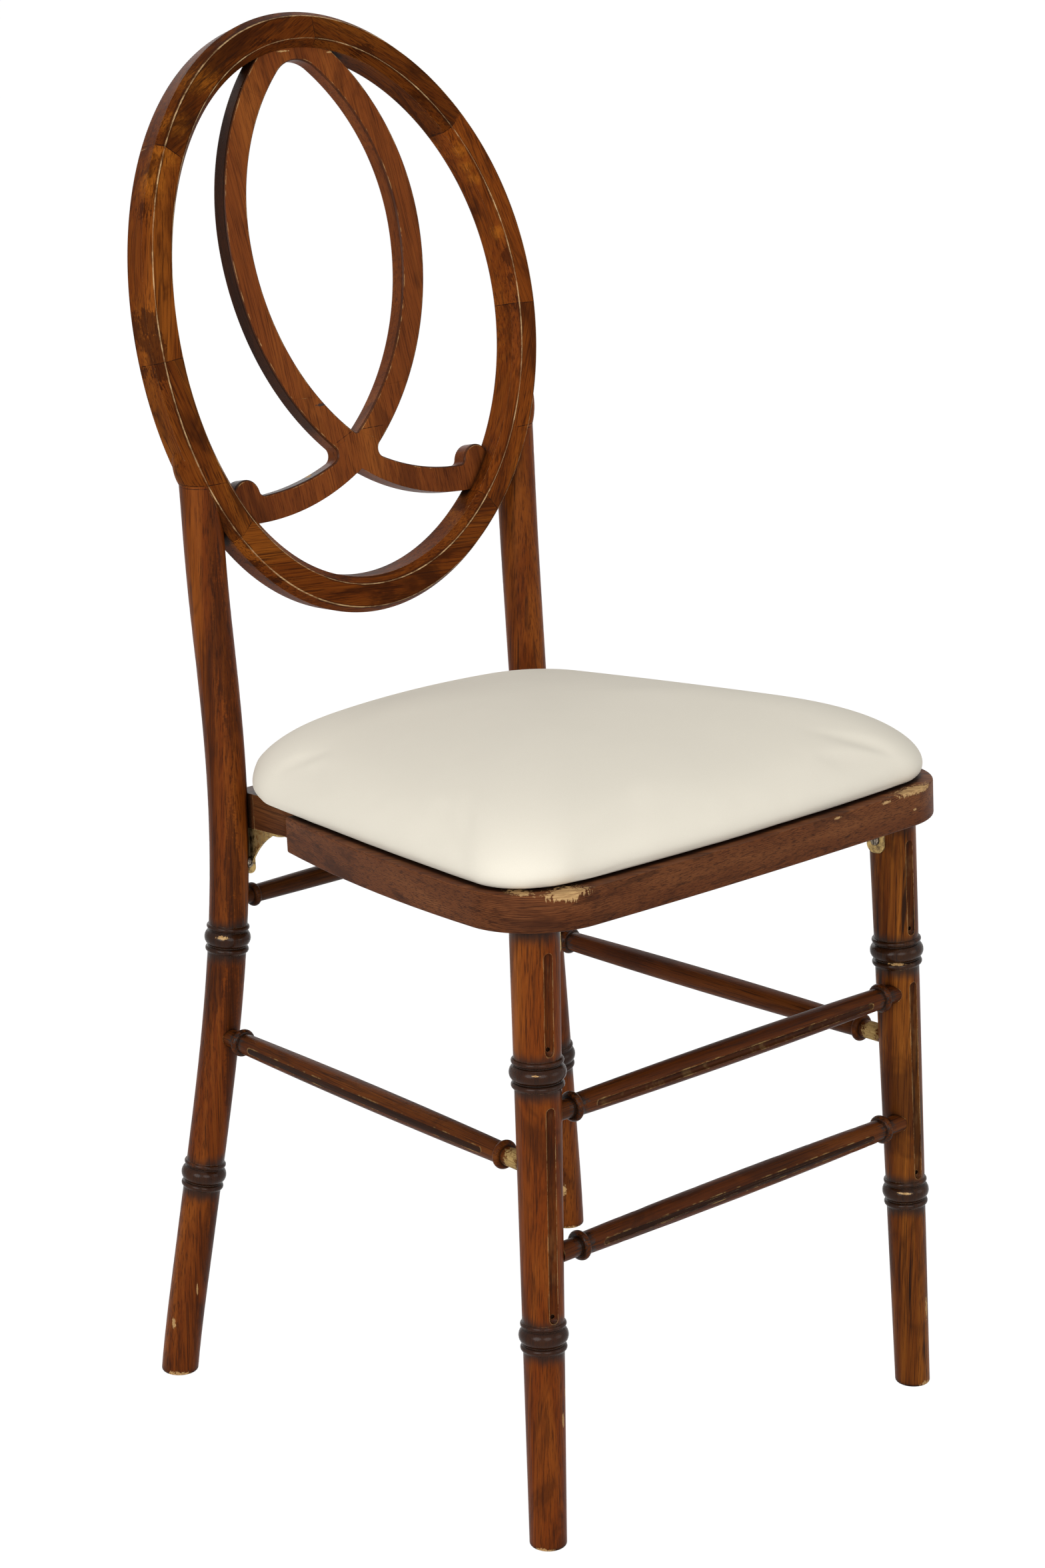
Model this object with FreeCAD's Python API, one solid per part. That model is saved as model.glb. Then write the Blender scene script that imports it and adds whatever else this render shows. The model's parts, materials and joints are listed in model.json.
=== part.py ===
import FreeCAD, Part
import math
import os

# Wooden dining chair with an oval back, a crossed splat, turned front legs
# and a loose crowned seat cushion.
# Frame: millimetres, +Z up, +X to the sitter's left-hand side seen from the
# front (the viewer's right), the chair faces -Y, origin on the floor under
# the middle of the whole chair.

V = FreeCAD.Vector

# Overall placing: the sizes below are taken from a point on the floor that
# lies this far in front of the middle of the whole chair.
middle_y = 19.83

# Height of the seat frame's underside at its front. The back stands on it and
# the turned work on the legs below it is spaced in shares of it.
seat_bottom_z = 413.6

# Oval back ring, measured along its leaning, slightly bowed sheet
ring_half_width_left = 171.4
ring_half_width_right = 168.4
ring_opening_half_width = 146.9
ring_half_height = 206.7
ring_centre_y = 173.4
ring_centre_z = seat_bottom_z + 309.5
ring_lean = 13.7
ring_bow = 17.4
ring_flat = 15.5
ring_bevel_in = 4.5
ring_bevel_deep = 6.0
ring_depth = 24.0
ring_back_round = 2.5
ring_width = ring_flat + 2 * ring_bevel_in
ring_joints = [-137.5, -49.5, -4.0, 38.0, 83.5, 142.0, 184.0]
ring_step = 9.0

# Crossed splat. Its points are drawn for an opening of this half width and
# half height, and they follow the ring's opening where that changes.
splat_drawn_width = 146.9
splat_drawn_height = 182.2
splat_setback = 17.0
splat_setback_lean = -1.4
splat_setback_bow = -2.6
splat_thick = 12.3
splat_width = 19.3
splat_side = 75.2
splat_level = 54.0
splat_upper_radius = 162.6
splat_lower_radius = 185.8
right_arm_top = [(-6.0, -86.0), (58.5, -114.5), (90.0, -118.0)]
right_arm_foot = [(-2.0, -106.0), (56.0, -131.7), (118.0, -134.8)]
right_knob = (105.0, -117.0)
left_arm_top = [(6.0, -86.0), (-61.5, -110.4), (-90.0, -112.6)]
left_arm_foot = [(2.0, -106.0), (-62.0, -128.6), (-118.0, -128.6)]
left_knob = (-102.0, -111.5)
splat_knob_radius = 11.5
splat_arris = 1.6
arris_foot = -119.0
head_bridge = 9.4
head_rise = 6.3
head_leg = 17.0
cross_joint = -89.5
cross_peak = -81.0
arc_joint = -55.0
notch_side = 6.0
notch_small = 3.0
notch_knob = 4.0

# Rear legs: one bent round bar each, from the floor to the ring
rear_path = [
    (0.0, 187.1, 157.1),
    (0.3627 * seat_bottom_z, 166.3, 149.9),
    (0.7495 * seat_bottom_z, 145.8, 145.0),
    (seat_bottom_z + 16.4, 140.0, 149.4),
    (seat_bottom_z + 146.4, 141.6, 162.8),
    (seat_bottom_z + 236.4, 141.8, 169.1),
]
rear_radius_floor = 12.7
rear_radius_top = 13.8
rear_top = seat_bottom_z + 211.4
rear_bead_low = 0.3484 * seat_bottom_z
rear_bead_high = 0.7570 * seat_bottom_z
rear_bead_proud = 2.6
dowel_radius = 5.0
dowel_reach = 16.0

# Front legs: straight, turned, tapered, leaning a little forward and out
front_foot = V(174.4, -205.4, 0)
front_head = V(164.0, -180.9, 400)
front_radius_floor = 12.0
front_taper = 0.0095
front_bead_low = 0.3421 * seat_bottom_z
front_bead_high = 0.7604 * seat_bottom_z
front_bead_low_proud = 2.6
front_bead_high_proud = 3.1
front_tenon_radius = 7.5
front_tenon_length = 16.0
flute_radius = 3.3
flute_sink = 2.5
flute_upper = (0.8003 * seat_bottom_z, 0.9454 * seat_bottom_z)
flute_lower = (0.3772 * seat_bottom_z, 0.7048 * seat_bottom_z)
flute_turn_right = -3.5
flute_turn_left = -12.0
foot_round = 1.8

# Stretchers
stretcher_mid_radius = 8.5
stretcher_end_radius = 7.3
stretcher_ring_radius = 9.9
stretcher_neck_radius = 6.4
stretcher_tenon = 9.0
rear_stretcher_scale = 0.84
front_upper_z = 0.6949 * seat_bottom_z
front_upper_ring = 143.1
front_lower_z = 0.4707 * seat_bottom_z
front_lower_ring = 141.5
front_stretcher_forward = 5.2
side_rear_z = 0.5919 * seat_bottom_z
side_rear_ring = 26.0
side_front_z = 0.6071 * seat_bottom_z
side_front_ring = 34.0
rear_stretcher_z = 0.8191 * seat_bottom_z
rear_stretcher_ring = 21.0

# Seat: a flat frame that drops a little towards the back
seat_front_y = -219.6
seat_slope = 3.78
seat_height = 24.3
band_thick = 19.0
band_front_radius = 4000.0
band_corner_radius = 53.0
band_side_front = (198.0, -172.0)
band_side_rear = (155.7, 68.0)
band_side_bow = 6.5
band_end_round = 3.0
band_edge_round = 1.6
rail_thick = 20.0
rail_leg_x = 131.0
rail_straight_y = 100.0
rear_rail_y = (132.0, 151.0)
panel_thick = 8.0
panel_lap = 9.0
block_reach_x = 128.0
block_reach_y = -146.0

# Brass brackets
bracket_sheet = 1.5
bracket_width = 12.0
bracket_along = 36.0
bracket_down = 32.0
bracket_outer_x = 131.0
bracket_leg_y = 140.0
bracket_foot_x = (126.8, 134.8)
small_bracket_arm = 24.0
small_bracket_width = 15.0
small_bracket_down = 25.0
small_bracket_x = 149.4
small_bracket_y = -179.0
screw_head_radius = 3.6
screw_head_height = 1.8
screw_shank_radius = 1.6
screw_length = 13.0

# Cushion
cushion_front_y = -214.5
cushion_rear_y = 168.0
cushion_front_radius = 1800.0
cushion_rear_radius = 420.0
cushion_side_front = (201.0, -208.0)
cushion_side_rear = (146.0, 120.0)
cushion_side_bow = 4.0
cushion_front_corner = 45.0
cushion_rear_corner = 84.0
cushion_crown = 67.0
cushion_belly = 8.0
cushion_tuck = 7.5
crown_steps = 12
crown_power = 1.0
cover_thick = 1.2
cover_gap = 0.3
board_thick = 9.0
board_inset = 11.0
hem_reach = 34.0
grip_thick = 1.2
grip_size = (70.0, 24.0)


# Helpers
def turn_x(angle):
    return FreeCAD.Rotation(V(1, 0, 0), angle)


def mirrored(shape):
    return shape.mirror(V(0, 0, 0), V(1, 0, 0))


def box(x0, x1, y0, y1, z0, z1):
    return Part.makeBox(x1 - x0, y1 - y0, z1 - z0, V(x0, y0, z0))


def arc(a, b, c):
    return Part.Arc(a, b, c).toShape()


def line(a, b):
    return Part.makeLine(a, b)


def largest(shape):
    solids = sorted(shape.Solids, key=lambda s: s.Volume)
    return solids[-1]


def save(name, shape):
    moved = shape.copy()
    moved.translate(V(0, -middle_y, 0))
    moved.exportStep("parts/" + name + ".step")


# The leaning sheet the back lies in: x across, s up along the sheet, depth
# behind its front face. The sheet curves back towards its top and bottom.
lean = math.radians(ring_lean)
sheet_up = V(0, math.sin(lean), math.cos(lean))
sheet_back = V(0, math.cos(lean), -math.sin(lean))
sheet_centre = V(0, ring_centre_y, ring_centre_z)


def sheet_normal(s):
    slope = 2 * ring_bow * s / ring_half_height ** 2
    n = sheet_back - sheet_up * slope
    n.normalize()
    return n


def sheet_point(x, s, depth):
    p = sheet_centre + V(x, 0, 0) + sheet_up * s
    p = p + sheet_back * (ring_bow * (s / ring_half_height) ** 2)
    return p + sheet_normal(s) * depth


def ring_section(angle):
    # the bevelled section of the ring, flat across the ring at one angle
    t = math.radians(angle)
    half = ring_half_width_right if math.cos(t) > 0 else ring_half_width_left
    outer = sheet_point(half * math.cos(t), ring_half_height * math.sin(t), 0)
    xi = ring_opening_half_width * math.cos(t)
    si = (ring_half_height - ring_width) * math.sin(t)
    inner = sheet_point(xi, si, 0)
    across = inner - outer
    stretch = across.Length / ring_width
    across.normalize()
    deep = sheet_normal((ring_half_height - ring_width / 2) * math.sin(t))
    deep = deep - across * deep.dot(across)
    deep.normalize()

    def at(inward, depth):
        return outer + across * (inward * stretch) + deep * depth

    w, d, r = ring_width, ring_depth, ring_back_round
    k = r * (1 - math.sqrt(0.5))
    edges = [
        line(at(0, ring_bevel_deep), at(ring_bevel_in, 0)),
        line(at(ring_bevel_in, 0), at(w - ring_bevel_in, 0)),
        line(at(w - ring_bevel_in, 0), at(w, ring_bevel_deep)),
        line(at(w, ring_bevel_deep), at(w, d - r)),
        arc(at(w, d - r), at(w - k, d - k), at(w - r, d)),
        line(at(w - r, d), at(r, d)),
        arc(at(r, d), at(k, d - k), at(0, d - r)),
        line(at(0, d - r), at(0, ring_bevel_deep)),
    ]
    return Part.Wire(edges)


def ring_segment(start, end):
    count = max(3, int(math.ceil((end - start) / ring_step)))
    angles = [start + (end - start) * i / count for i in range(count + 1)]
    return Part.makeLoft([ring_section(a) for a in angles], True, False)


# Rear leg path: a smooth curve through the measured stations, on the right
def rear_curve():
    curve = Part.BSplineCurve()
    curve.interpolate([V(x, y, z) for z, x, y in rear_path])
    return curve


rear_axis = rear_curve()


def rear_at(z):
    # point and direction of the rear leg's axis at a height
    low, high = rear_axis.FirstParameter, rear_axis.LastParameter
    for i in range(40):
        mid = (low + high) / 2
        if rear_axis.value(mid).z < z:
            low = mid
        else:
            high = mid
    return rear_axis.value(low), rear_axis.tangent(low)[0]


def rear_radius(z):
    return rear_radius_floor + (rear_radius_top - rear_radius_floor) * z / rear_top


def disc(centre, axis, radius):
    return Part.Wire([Part.makeCircle(radius, centre, axis)])


def bead_profile(radius, proud, half=11.5):
    # small ring, main bead, lower ring, as a turned outline about +Z
    inner = radius - 3.0
    z = [-half, -9.6, -7.4, -5.2, -4.6, 0.6, 5.8, 6.4, 8.2, 10.0, half]
    edges = [
        line(V(inner, 0, z[0]), V(radius - 0.4, 0, z[0])),
        line(V(radius - 0.4, 0, z[0]), V(radius + 0.1, 0, z[1])),
        arc(V(radius + 0.1, 0, z[1]), V(radius + 0.62 * proud, 0, z[2]), V(radius + 0.1, 0, z[3])),
        line(V(radius + 0.1, 0, z[3]), V(radius + 0.1, 0, z[4])),
        arc(V(radius + 0.1, 0, z[4]), V(radius + proud, 0, z[5]), V(radius + 0.1, 0, z[6])),
        line(V(radius + 0.1, 0, z[6]), V(radius + 0.1, 0, z[7])),
        arc(V(radius + 0.1, 0, z[7]), V(radius + 0.55 * proud, 0, z[8]), V(radius + 0.1, 0, z[9])),
        line(V(radius + 0.1, 0, z[9]), V(radius - 0.4, 0, z[10])),
        line(V(radius - 0.4, 0, z[10]), V(inner, 0, z[10])),
        line(V(inner, 0, z[10]), V(inner, 0, z[0])),
    ]
    face = Part.Face(Part.Wire(edges))
    return face.revolve(V(0, 0, 0), V(0, 0, 1), 360)


def stand(shape, point, direction):
    # put a shape made about +Z on an axis through a point
    placed = shape.copy()
    placed.Placement = FreeCAD.Placement(point, FreeCAD.Rotation(V(0, 0, 1), direction))
    return placed


def stand_turned(shape, point, direction):
    # the same for a shape that has been turned about +Z already
    axis = FreeCAD.Placement(point, FreeCAD.Rotation(V(0, 0, 1), direction))
    placed = shape.copy()
    placed.Placement = axis.multiply(placed.Placement)
    return placed


def rear_leg():
    heights = [-8] + [rear_top * share for share in (0.12, 0.24, 0.37, 0.5, 0.59, 0.69, 0.79, 0.9, 1.0)]
    wires = []
    for h in heights:
        if h < 0:
            foot, way = rear_at(0.0)
            wires.append(disc(foot + way * (h / way.z), way, rear_radius(0)))
        else:
            point, way = rear_at(h)
            wires.append(disc(point, way, rear_radius(h)))
    bar = Part.makeLoft(wires, True, False)
    for h in (rear_bead_low, rear_bead_high):
        point, way = rear_at(h)
        bead = stand(bead_profile(rear_radius(h), rear_bead_proud), point, way)
        bar = bar.fuse(bead)
    bar = bar.cut(box(100, 260, 60, 260, -40, 0))
    foot_edges = [e for e in bar.Edges if abs(e.BoundBox.ZMax) < 0.01]
    return largest(bar.makeFillet(foot_round, foot_edges))


def lug(half):
    # the swelling on the outside of the ring that the rear leg's top meets
    point, way = rear_at(rear_top)
    wires = [disc(point, way, rear_radius_top)]
    t = math.radians(-19.0)
    x = (half + ring_opening_half_width) / 2 * math.cos(t)
    s = (ring_half_height - ring_width * 0.5) * math.sin(t)
    head = sheet_point(x, s, ring_depth * 0.5)
    half_way = point + (head - point) * 0.45 + V(1.5, 0, 0)
    up = head - point
    up.normalize()
    wires.append(disc(half_way, up, rear_radius_top * 0.93))
    wires.append(disc(head, up, rear_radius_top * 0.62))
    return Part.makeLoft(wires, True, False)


def setback(s):
    # how far the splat's face lies behind the ring's face at a level
    t = s / 100.0
    return splat_setback + splat_setback_lean * t + splat_setback_bow * t * t


def splat_stretch():
    # how far the ring's real opening is from the drawn one, across and up
    wide = ring_opening_half_width / splat_drawn_width
    high = (ring_half_height - ring_width) / splat_drawn_height
    return wide, high


def stretched(solid):
    # the flat splat as drawn, set to the ring's real opening
    wide, high = splat_stretch()
    if max(abs(wide - 1), abs(high - 1)) < 1e-6:
        return solid
    return solid.transformGeometry(FreeCAD.Matrix(wide, 0, 0, 0, 0, high, 0, 0, 0, 0, 1, 0, 0, 0, 0, 1))


def spot(x, s):
    # a drawn point of the splat on the ring's real opening
    wide, high = splat_stretch()
    return V(x * wide, s * high, 0)


def drawn(x, s):
    return V(x, s, 0)


def ribbon(side):
    # one ribbon of the splat drawn flat: an upper and a lower arc that
    # share their widest point, seen on the sheet from the front
    half = splat_width / 2
    out = []
    for radius, a0, a1 in ((splat_upper_radius, 0.0, 55.0), (splat_lower_radius, -57.0, 0.0)):
        def at(r, angle):
            t = math.radians(angle)
            return drawn(side * (splat_side - radius + r * math.cos(t)), splat_level + r * math.sin(t))

        mid = (a0 + a1) / 2
        outer = [at(radius + half, a) for a in (a0, mid, a1)]
        inner = [at(radius - half, a) for a in (a1, mid, a0)]
        edges = [arc(*outer), line(outer[2], inner[0]), arc(*inner), line(inner[2], outer[0])]
        out.append(Part.Face(Part.Wire(edges)))
    return out


def arm(upper, lower):
    # the foot of a ribbon past the crossing, curving level to its knob
    top = [drawn(x, y) for x, y in upper]
    low = [drawn(x, y) for x, y in lower]
    end = V(low[2].x, top[2].y, 0)
    edges = [
        arc(*top), line(top[2], end), line(end, low[2]),
        arc(low[2], low[1], low[0]), line(low[0], top[0])]
    return Part.Face(Part.Wire(edges))


def flat_splat():
    # the whole splat as a thick flat cut-out, before it is bent
    faces = ribbon(1) + ribbon(-1)
    faces.append(arm(right_arm_top, right_arm_foot))
    faces.append(arm(left_arm_top, left_arm_foot))
    thick = V(0, 0, 70)
    solid = faces[0].extrude(thick)
    for face in faces[1:]:
        solid = solid.fuse(face.extrude(thick))
    for x, y in (right_knob, left_knob):
        solid = solid.fuse(Part.makeCylinder(splat_knob_radius, 70, drawn(x, y)))
    # head: the pointed end of the opening is closed by a round of its own,
    # which leaves a bridge of wood over it and runs into their inner edges
    inner = splat_upper_radius - splat_width / 2
    low = splat_drawn_height - head_bridge - head_rise
    edge = splat_side - splat_upper_radius + math.sqrt(inner ** 2 - (low - splat_level) ** 2)
    side, top = drawn(edge, low), drawn(0, low + head_rise)
    rise = top.y - side.y
    head_round = (side.x ** 2 + rise ** 2) / (2 * rise)
    solid = solid.fuse(box(-side.x, side.x, side.y, splat_drawn_height + ring_width, 0, 70))
    solid = solid.cut(Part.makeCylinder(head_round, 70, V(0, top.y - head_round, 0)))
    # trimmed to the ring's opening
    oval = Part.Ellipse(V(0, 0, 0), splat_drawn_height + 1, splat_drawn_width + 1)
    oval = Part.Face(Part.Wire([oval.toShape()])).extrude(thick)
    oval.rotate(V(0, 0, 0), V(0, 0, 1), 90)
    return solid.common(oval).removeSplitter()


def notches(solid):
    # round the inner corners where the ribbons cross and meet their knobs
    def near(place, reach):
        found = []
        for e in solid.Edges:
            b = e.BoundBox
            if b.ZLength > 60 and b.XLength < 0.01 and b.YLength < 0.01:
                if math.hypot(b.XMin - place.x, b.YMin - place.y) < reach:
                    found.append(e)
        return found

    rounds = [
        (notch_side, [(-17, -94), (17, -94)], 6),
        (notch_small, [(0, -83)], 5),
        (notch_small / 2, [(0, -107)], 5),
        (notch_knob, [(-89, -113), (91, -118)], 7),
    ]
    for radius, spots, reach in rounds:
        edges = []
        for x, s in spots:
            edges = edges + near(drawn(x, s), reach)
        if edges:
            solid = solid.makeFillet(radius, edges)
    return solid


def bent_slab():
    # the part of the bowed sheet the splat is cut from
    high = ring_half_height - ring_width + 8
    wide = ring_opening_half_width + 4
    rows = [high * (i / 8.0 - 1) for i in range(17)]
    front = Part.BSplineCurve()
    front.interpolate([sheet_point(-wide, s, setback(s)) for s in rows])
    back = Part.BSplineCurve()
    back.interpolate([sheet_point(-wide, s, setback(s) + splat_thick) for s in rows])
    a, b = front.toShape(), back.toShape()
    ends = []
    for s in (rows[0], rows[-1]):
        ends.append(line(sheet_point(-wide, s, setback(s)), sheet_point(-wide, s, setback(s) + splat_thick)))
    face = Part.Face(Part.Wire(Part.__sortEdges__([a, ends[0], b, ends[1]])))
    return face.extrude(V(2 * wide, 0, 0))


def eased(solid):
    # the long edges of the splat's face and back, rounded from the head down
    # to the arms; the arms' lower edges stay sharp
    wide, high = ring_opening_half_width, ring_half_height - ring_width
    foot, crotch = spot(0, arris_foot).y, spot(8, cross_joint - 10)
    edges = []
    for face in sorted(solid.Faces, key=lambda f: f.Area)[-2:]:
        for e in face.Edges:
            middle = e.valueAt((e.FirstParameter + e.LastParameter) / 2) - sheet_centre
            level = middle.dot(sheet_up)
            in_crotch = abs(middle.x) < crotch.x and level < crotch.y
            in_ring = math.hypot(middle.x / wide, level / high) > 0.995
            if level > foot and not in_crotch and not in_ring:
                edges.append(e)
    return solid.makeFillet(splat_arris, edges)


def splat_parts(ring):
    whole = stretched(notches(flat_splat()))
    # stand the flat cut-out in the leaning sheet, its thickness running back
    matrix = FreeCAD.Matrix(
        1, 0, 0, sheet_centre.x,
        0, sheet_up.y, -sheet_back.y, sheet_centre.y + sheet_back.y * 50,
        0, sheet_up.z, -sheet_back.z, sheet_centre.z + sheet_back.z * 50,
        0, 0, 0, 1)
    whole.Placement = FreeCAD.Placement(matrix)
    bent = eased(largest(whole.common(bent_slab())))
    for piece in ring:
        bent = bent.cut(piece)
    bent = largest(bent)

    def wedge(points):
        # a cutter drawn flat on the sheet, as deep as the whole back
        down = V(0, 0, -10)
        wire = Part.makePolygon([spot(x, s) + down for x, s in points + points[:1]])
        solid = Part.Face(wire).extrude(V(0, 0, 100))
        solid.Placement = FreeCAD.Placement(matrix)
        return solid

    head_joint = splat_drawn_height - head_bridge - head_leg
    turn = math.asin((head_joint - splat_level) / splat_upper_radius)

    def joint_end(reach, lag):
        # along the head's joint, square across the ribbon
        radius = splat_upper_radius + reach
        cx = splat_side - splat_upper_radius
        return cx + radius * math.cos(turn - lag), splat_level + radius * math.sin(turn - lag)

    near_x, near_s = joint_end(-16, 0.0)
    far_x, far_s = joint_end(22, 0.035)
    wide, high = splat_drawn_width + 4, splat_drawn_height + 8
    head_cut = wedge([
        (-far_x, far_s), (-near_x, near_s), (near_x, near_s), (far_x, far_s), (far_x, high), (-far_x, high)])
    # the crossing piece is fitted under the feet of the two ribbons
    shoulder = splat_width - 1.3
    cross_cut = wedge([
        (-shoulder, cross_joint), (0, cross_peak), (shoulder, cross_joint),
        (wide, cross_joint), (wide, -high), (-wide, -high), (-wide, cross_joint)])
    low_cut = wedge([
        (0, arc_joint), (wide / 2, arc_joint + 3), (wide / 2, cross_joint),
        (shoulder, cross_joint), (0, cross_peak)])
    right = box(0, 2 * wide, 0, 2 * ring_centre_y, ring_centre_z - 2 * high, ring_centre_z + 2 * high)
    head = bent.common(head_cut)
    cross = bent.common(cross_cut)
    arcs = bent.cut(head_cut).cut(cross_cut)
    right_arc = arcs.common(right)
    low = right_arc.common(low_cut)
    high = right_arc.cut(low_cut)
    return {
        "splat_head": largest(head),
        "splat_cross": largest(cross),
        "splat_arc_right": largest(high),
        "splat_arc_right_lower": largest(low),
        "splat_arc_left": mirrored(largest(high)),
        "splat_arc_left_lower": mirrored(largest(low)),
    }


# Front leg, turned about its own straight axis
def front_radius(z):
    return front_radius_floor + front_taper * z


def front_axis():
    way = front_head - front_foot
    way.normalize()
    return way


def front_at(z):
    way = front_axis()
    return front_foot + way * (z / way.z)


def seat_tilt(shape):
    # lay a shape drawn on the seat's own flat frame into the chair
    placed = shape.copy()
    spot = V(0, seat_front_y, seat_bottom_z)
    back = FreeCAD.Placement(V(0, -seat_front_y, 0), turn_x(0))
    tilt = FreeCAD.Placement(spot, turn_x(-seat_slope)).multiply(back)
    placed.Placement = tilt.multiply(placed.Placement)
    return placed


def front_leg():
    way = front_axis()
    above = seat_bottom_z + 56.4
    long = above / way.z
    low, high = front_radius(-10), front_radius(above)
    side = [V(0, 0, -10), V(low, 0, -10), V(high, 0, long), V(0, 0, long), V(0, 0, -10)]
    bar = Part.Face(Part.makePolygon(side)).revolve(V(0, 0, 0), V(0, 0, 1), 360)
    groups = ((front_bead_low, front_bead_low_proud), (front_bead_high, front_bead_high_proud))
    for height, proud in groups:
        bead = bead_profile(front_radius(height), proud)
        bead.translate(V(0, 0, height / way.z))
        bar = bar.fuse(bead)
    bar = stand(largest(bar), front_foot, way)
    bar = bar.cut(box(100, 260, -300, -100, -60, 0))
    seat_space = seat_tilt(box(60, 300, -300, 0, 0, 160))
    bar = largest(bar.cut(seat_space))
    foot_edges = [e for e in bar.Edges if abs(e.BoundBox.ZMax) < 0.01]
    bar = bar.makeFillet(foot_round, foot_edges)
    top = front_at(seat_bottom_z - 2.5)
    tenon = seat_tilt(tenon_on_seat(top, front_tenon_radius, front_tenon_length))
    return largest(bar.fuse(tenon))


def fluted(bar, turn):
    # two round-ended grooves down the front of the leg, turned a little about
    # the leg's own axis, each with a small dot at its lower end
    way = front_axis()
    for low, high in (flute_upper, flute_lower):
        z0, z1 = low / way.z, high / way.z
        start = V(0, -(front_radius(low) - flute_sink + flute_radius), z0)
        end = V(0, -(front_radius(high) - flute_sink + flute_radius), z1)
        run = end - start
        groove = Part.makeCylinder(flute_radius, run.Length, start, run)
        groove = groove.fuse(Part.makeSphere(flute_radius, start)).fuse(Part.makeSphere(flute_radius, end))
        dot = Part.makeCylinder(1.5, 6, V(0, start.y - 1, z0 + 1.2), V(0, 1, 0))
        for tool in (groove, dot):
            tool.rotate(V(0, 0, 0), V(0, 0, 1), turn)
            bar = bar.cut(stand_turned(tool, front_foot, way))
    return largest(bar)


def tenon_on_seat(top, radius, height):
    # a round tenon standing square on the seat frame's underside
    return Part.makeCylinder(radius, height + 4, V(top.x, top.y, -4))


# Stretchers are turned about the line from leg to leg
def stretcher(a, b, ring_a, ring_b, scale=1.0, flute=None):
    # a, b: points on the two leg axes; ring_a, ring_b: distance to the rings
    run = b - a
    long = run.Length
    ring_half = 2.6
    rm, re = stretcher_mid_radius * scale, stretcher_end_radius * scale
    rr, rn = stretcher_ring_radius * scale, stretcher_neck_radius * scale
    t = stretcher_tenon
    za, zb = ring_a, long - ring_b
    edges = [
        line(V(0, 0, t), V(rn, 0, t)),
        line(V(rn, 0, t), V(rn, 0, za - ring_half)),
        line(V(rn, 0, za - ring_half), V(rn + 0.8, 0, za - ring_half)),
        arc(V(rn + 0.8, 0, za - ring_half), V(rr, 0, za), V(re, 0, za + ring_half)),
        arc(V(re, 0, za + ring_half), V(rm, 0, (za + zb) / 2), V(re, 0, zb - ring_half)),
        arc(V(re, 0, zb - ring_half), V(rr, 0, zb), V(rn + 0.8, 0, zb + ring_half)),
        line(V(rn + 0.8, 0, zb + ring_half), V(rn, 0, zb + ring_half)),
        line(V(rn, 0, zb + ring_half), V(rn, 0, long - t)),
        line(V(rn, 0, long - t), V(0, 0, long - t)),
        line(V(0, 0, long - t), V(0, 0, t)),
    ]
    bar = Part.Face(Part.Wire(edges)).revolve(V(0, 0, 0), V(0, 0, 1), 360)
    bar = stand(bar, a, run)
    if flute is not None:
        # a long round-ended groove on the face that is seen
        way = V(run.x, run.y, run.z)
        way.normalize()
        out = flute - way * flute.dot(way)
        out.normalize()
        r = 2.2
        lift = out * (rm - 1.5 + r)
        start = a + way * (za + 17) + lift - out * 0.9
        end = a + way * (zb - 17) + lift - out * 0.9
        groove = Part.makeCylinder(r, (end - start).Length, start, way)
        groove = groove.fuse(Part.makeSphere(r, start)).fuse(Part.makeSphere(r, end))
        bar = largest(bar.cut(groove))
    return bar


# Seat outlines: arcs that run into one another, drawn on the seat's frame
def three_point_circle(p, q, r):
    ax, ay, bx, by, cx, cy = p[0], p[1], q[0], q[1], r[0], r[1]
    aa, bb, cc = ax ** 2 + ay ** 2, bx ** 2 + by ** 2, cx ** 2 + cy ** 2
    d = 2 * (ax * (by - cy) + bx * (cy - ay) + cx * (ay - by))
    ux = (aa * (by - cy) + bb * (cy - ay) + cc * (ay - by)) / d
    uy = (aa * (cx - bx) + bb * (ax - cx) + cc * (bx - ax)) / d
    return (ux, uy), math.hypot(ax - ux, ay - uy)


def side_circle(front, rear, bow):
    mx, my = (front[0] + rear[0]) / 2, (front[1] + rear[1]) / 2
    dx, dy = rear[0] - front[0], rear[1] - front[1]
    run = math.hypot(dx, dy)
    return three_point_circle(front, (mx + bow * dy / run, my - bow * dx / run), rear)


def corner_centre(c1, r1, c2, r2, radius, toward):
    # centre of a corner round that runs into two larger arcs from inside
    a, b = r1 - radius, r2 - radius
    dx, dy = c2[0] - c1[0], c2[1] - c1[1]
    d = math.hypot(dx, dy)
    along = (a ** 2 - b ** 2 + d ** 2) / (2 * d)
    off = math.sqrt(max(a ** 2 - along ** 2, 0.0))
    best = None
    for sign in (-1, 1):
        x = c1[0] + along * dx / d - sign * off * dy / d
        y = c1[1] + along * dy / d + sign * off * dx / d
        gap = math.hypot(x - toward[0], y - toward[1])
        if best is None or gap < best[0]:
            best = (gap, (x, y))
    return best[1]


def beyond(c, p, radius):
    d = math.hypot(p[0] - c[0], p[1] - c[1])
    return c[0] + (p[0] - c[0]) * radius / d, c[1] + (p[1] - c[1]) * radius / d


def arc_xy(c, radius, p, q, z):
    m = ((p[0] + q[0]) / 2, (p[1] + q[1]) / 2)
    m = beyond(c, m, radius)
    return arc(V(p[0], p[1], z), V(m[0], m[1], z), V(q[0], q[1], z))


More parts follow.
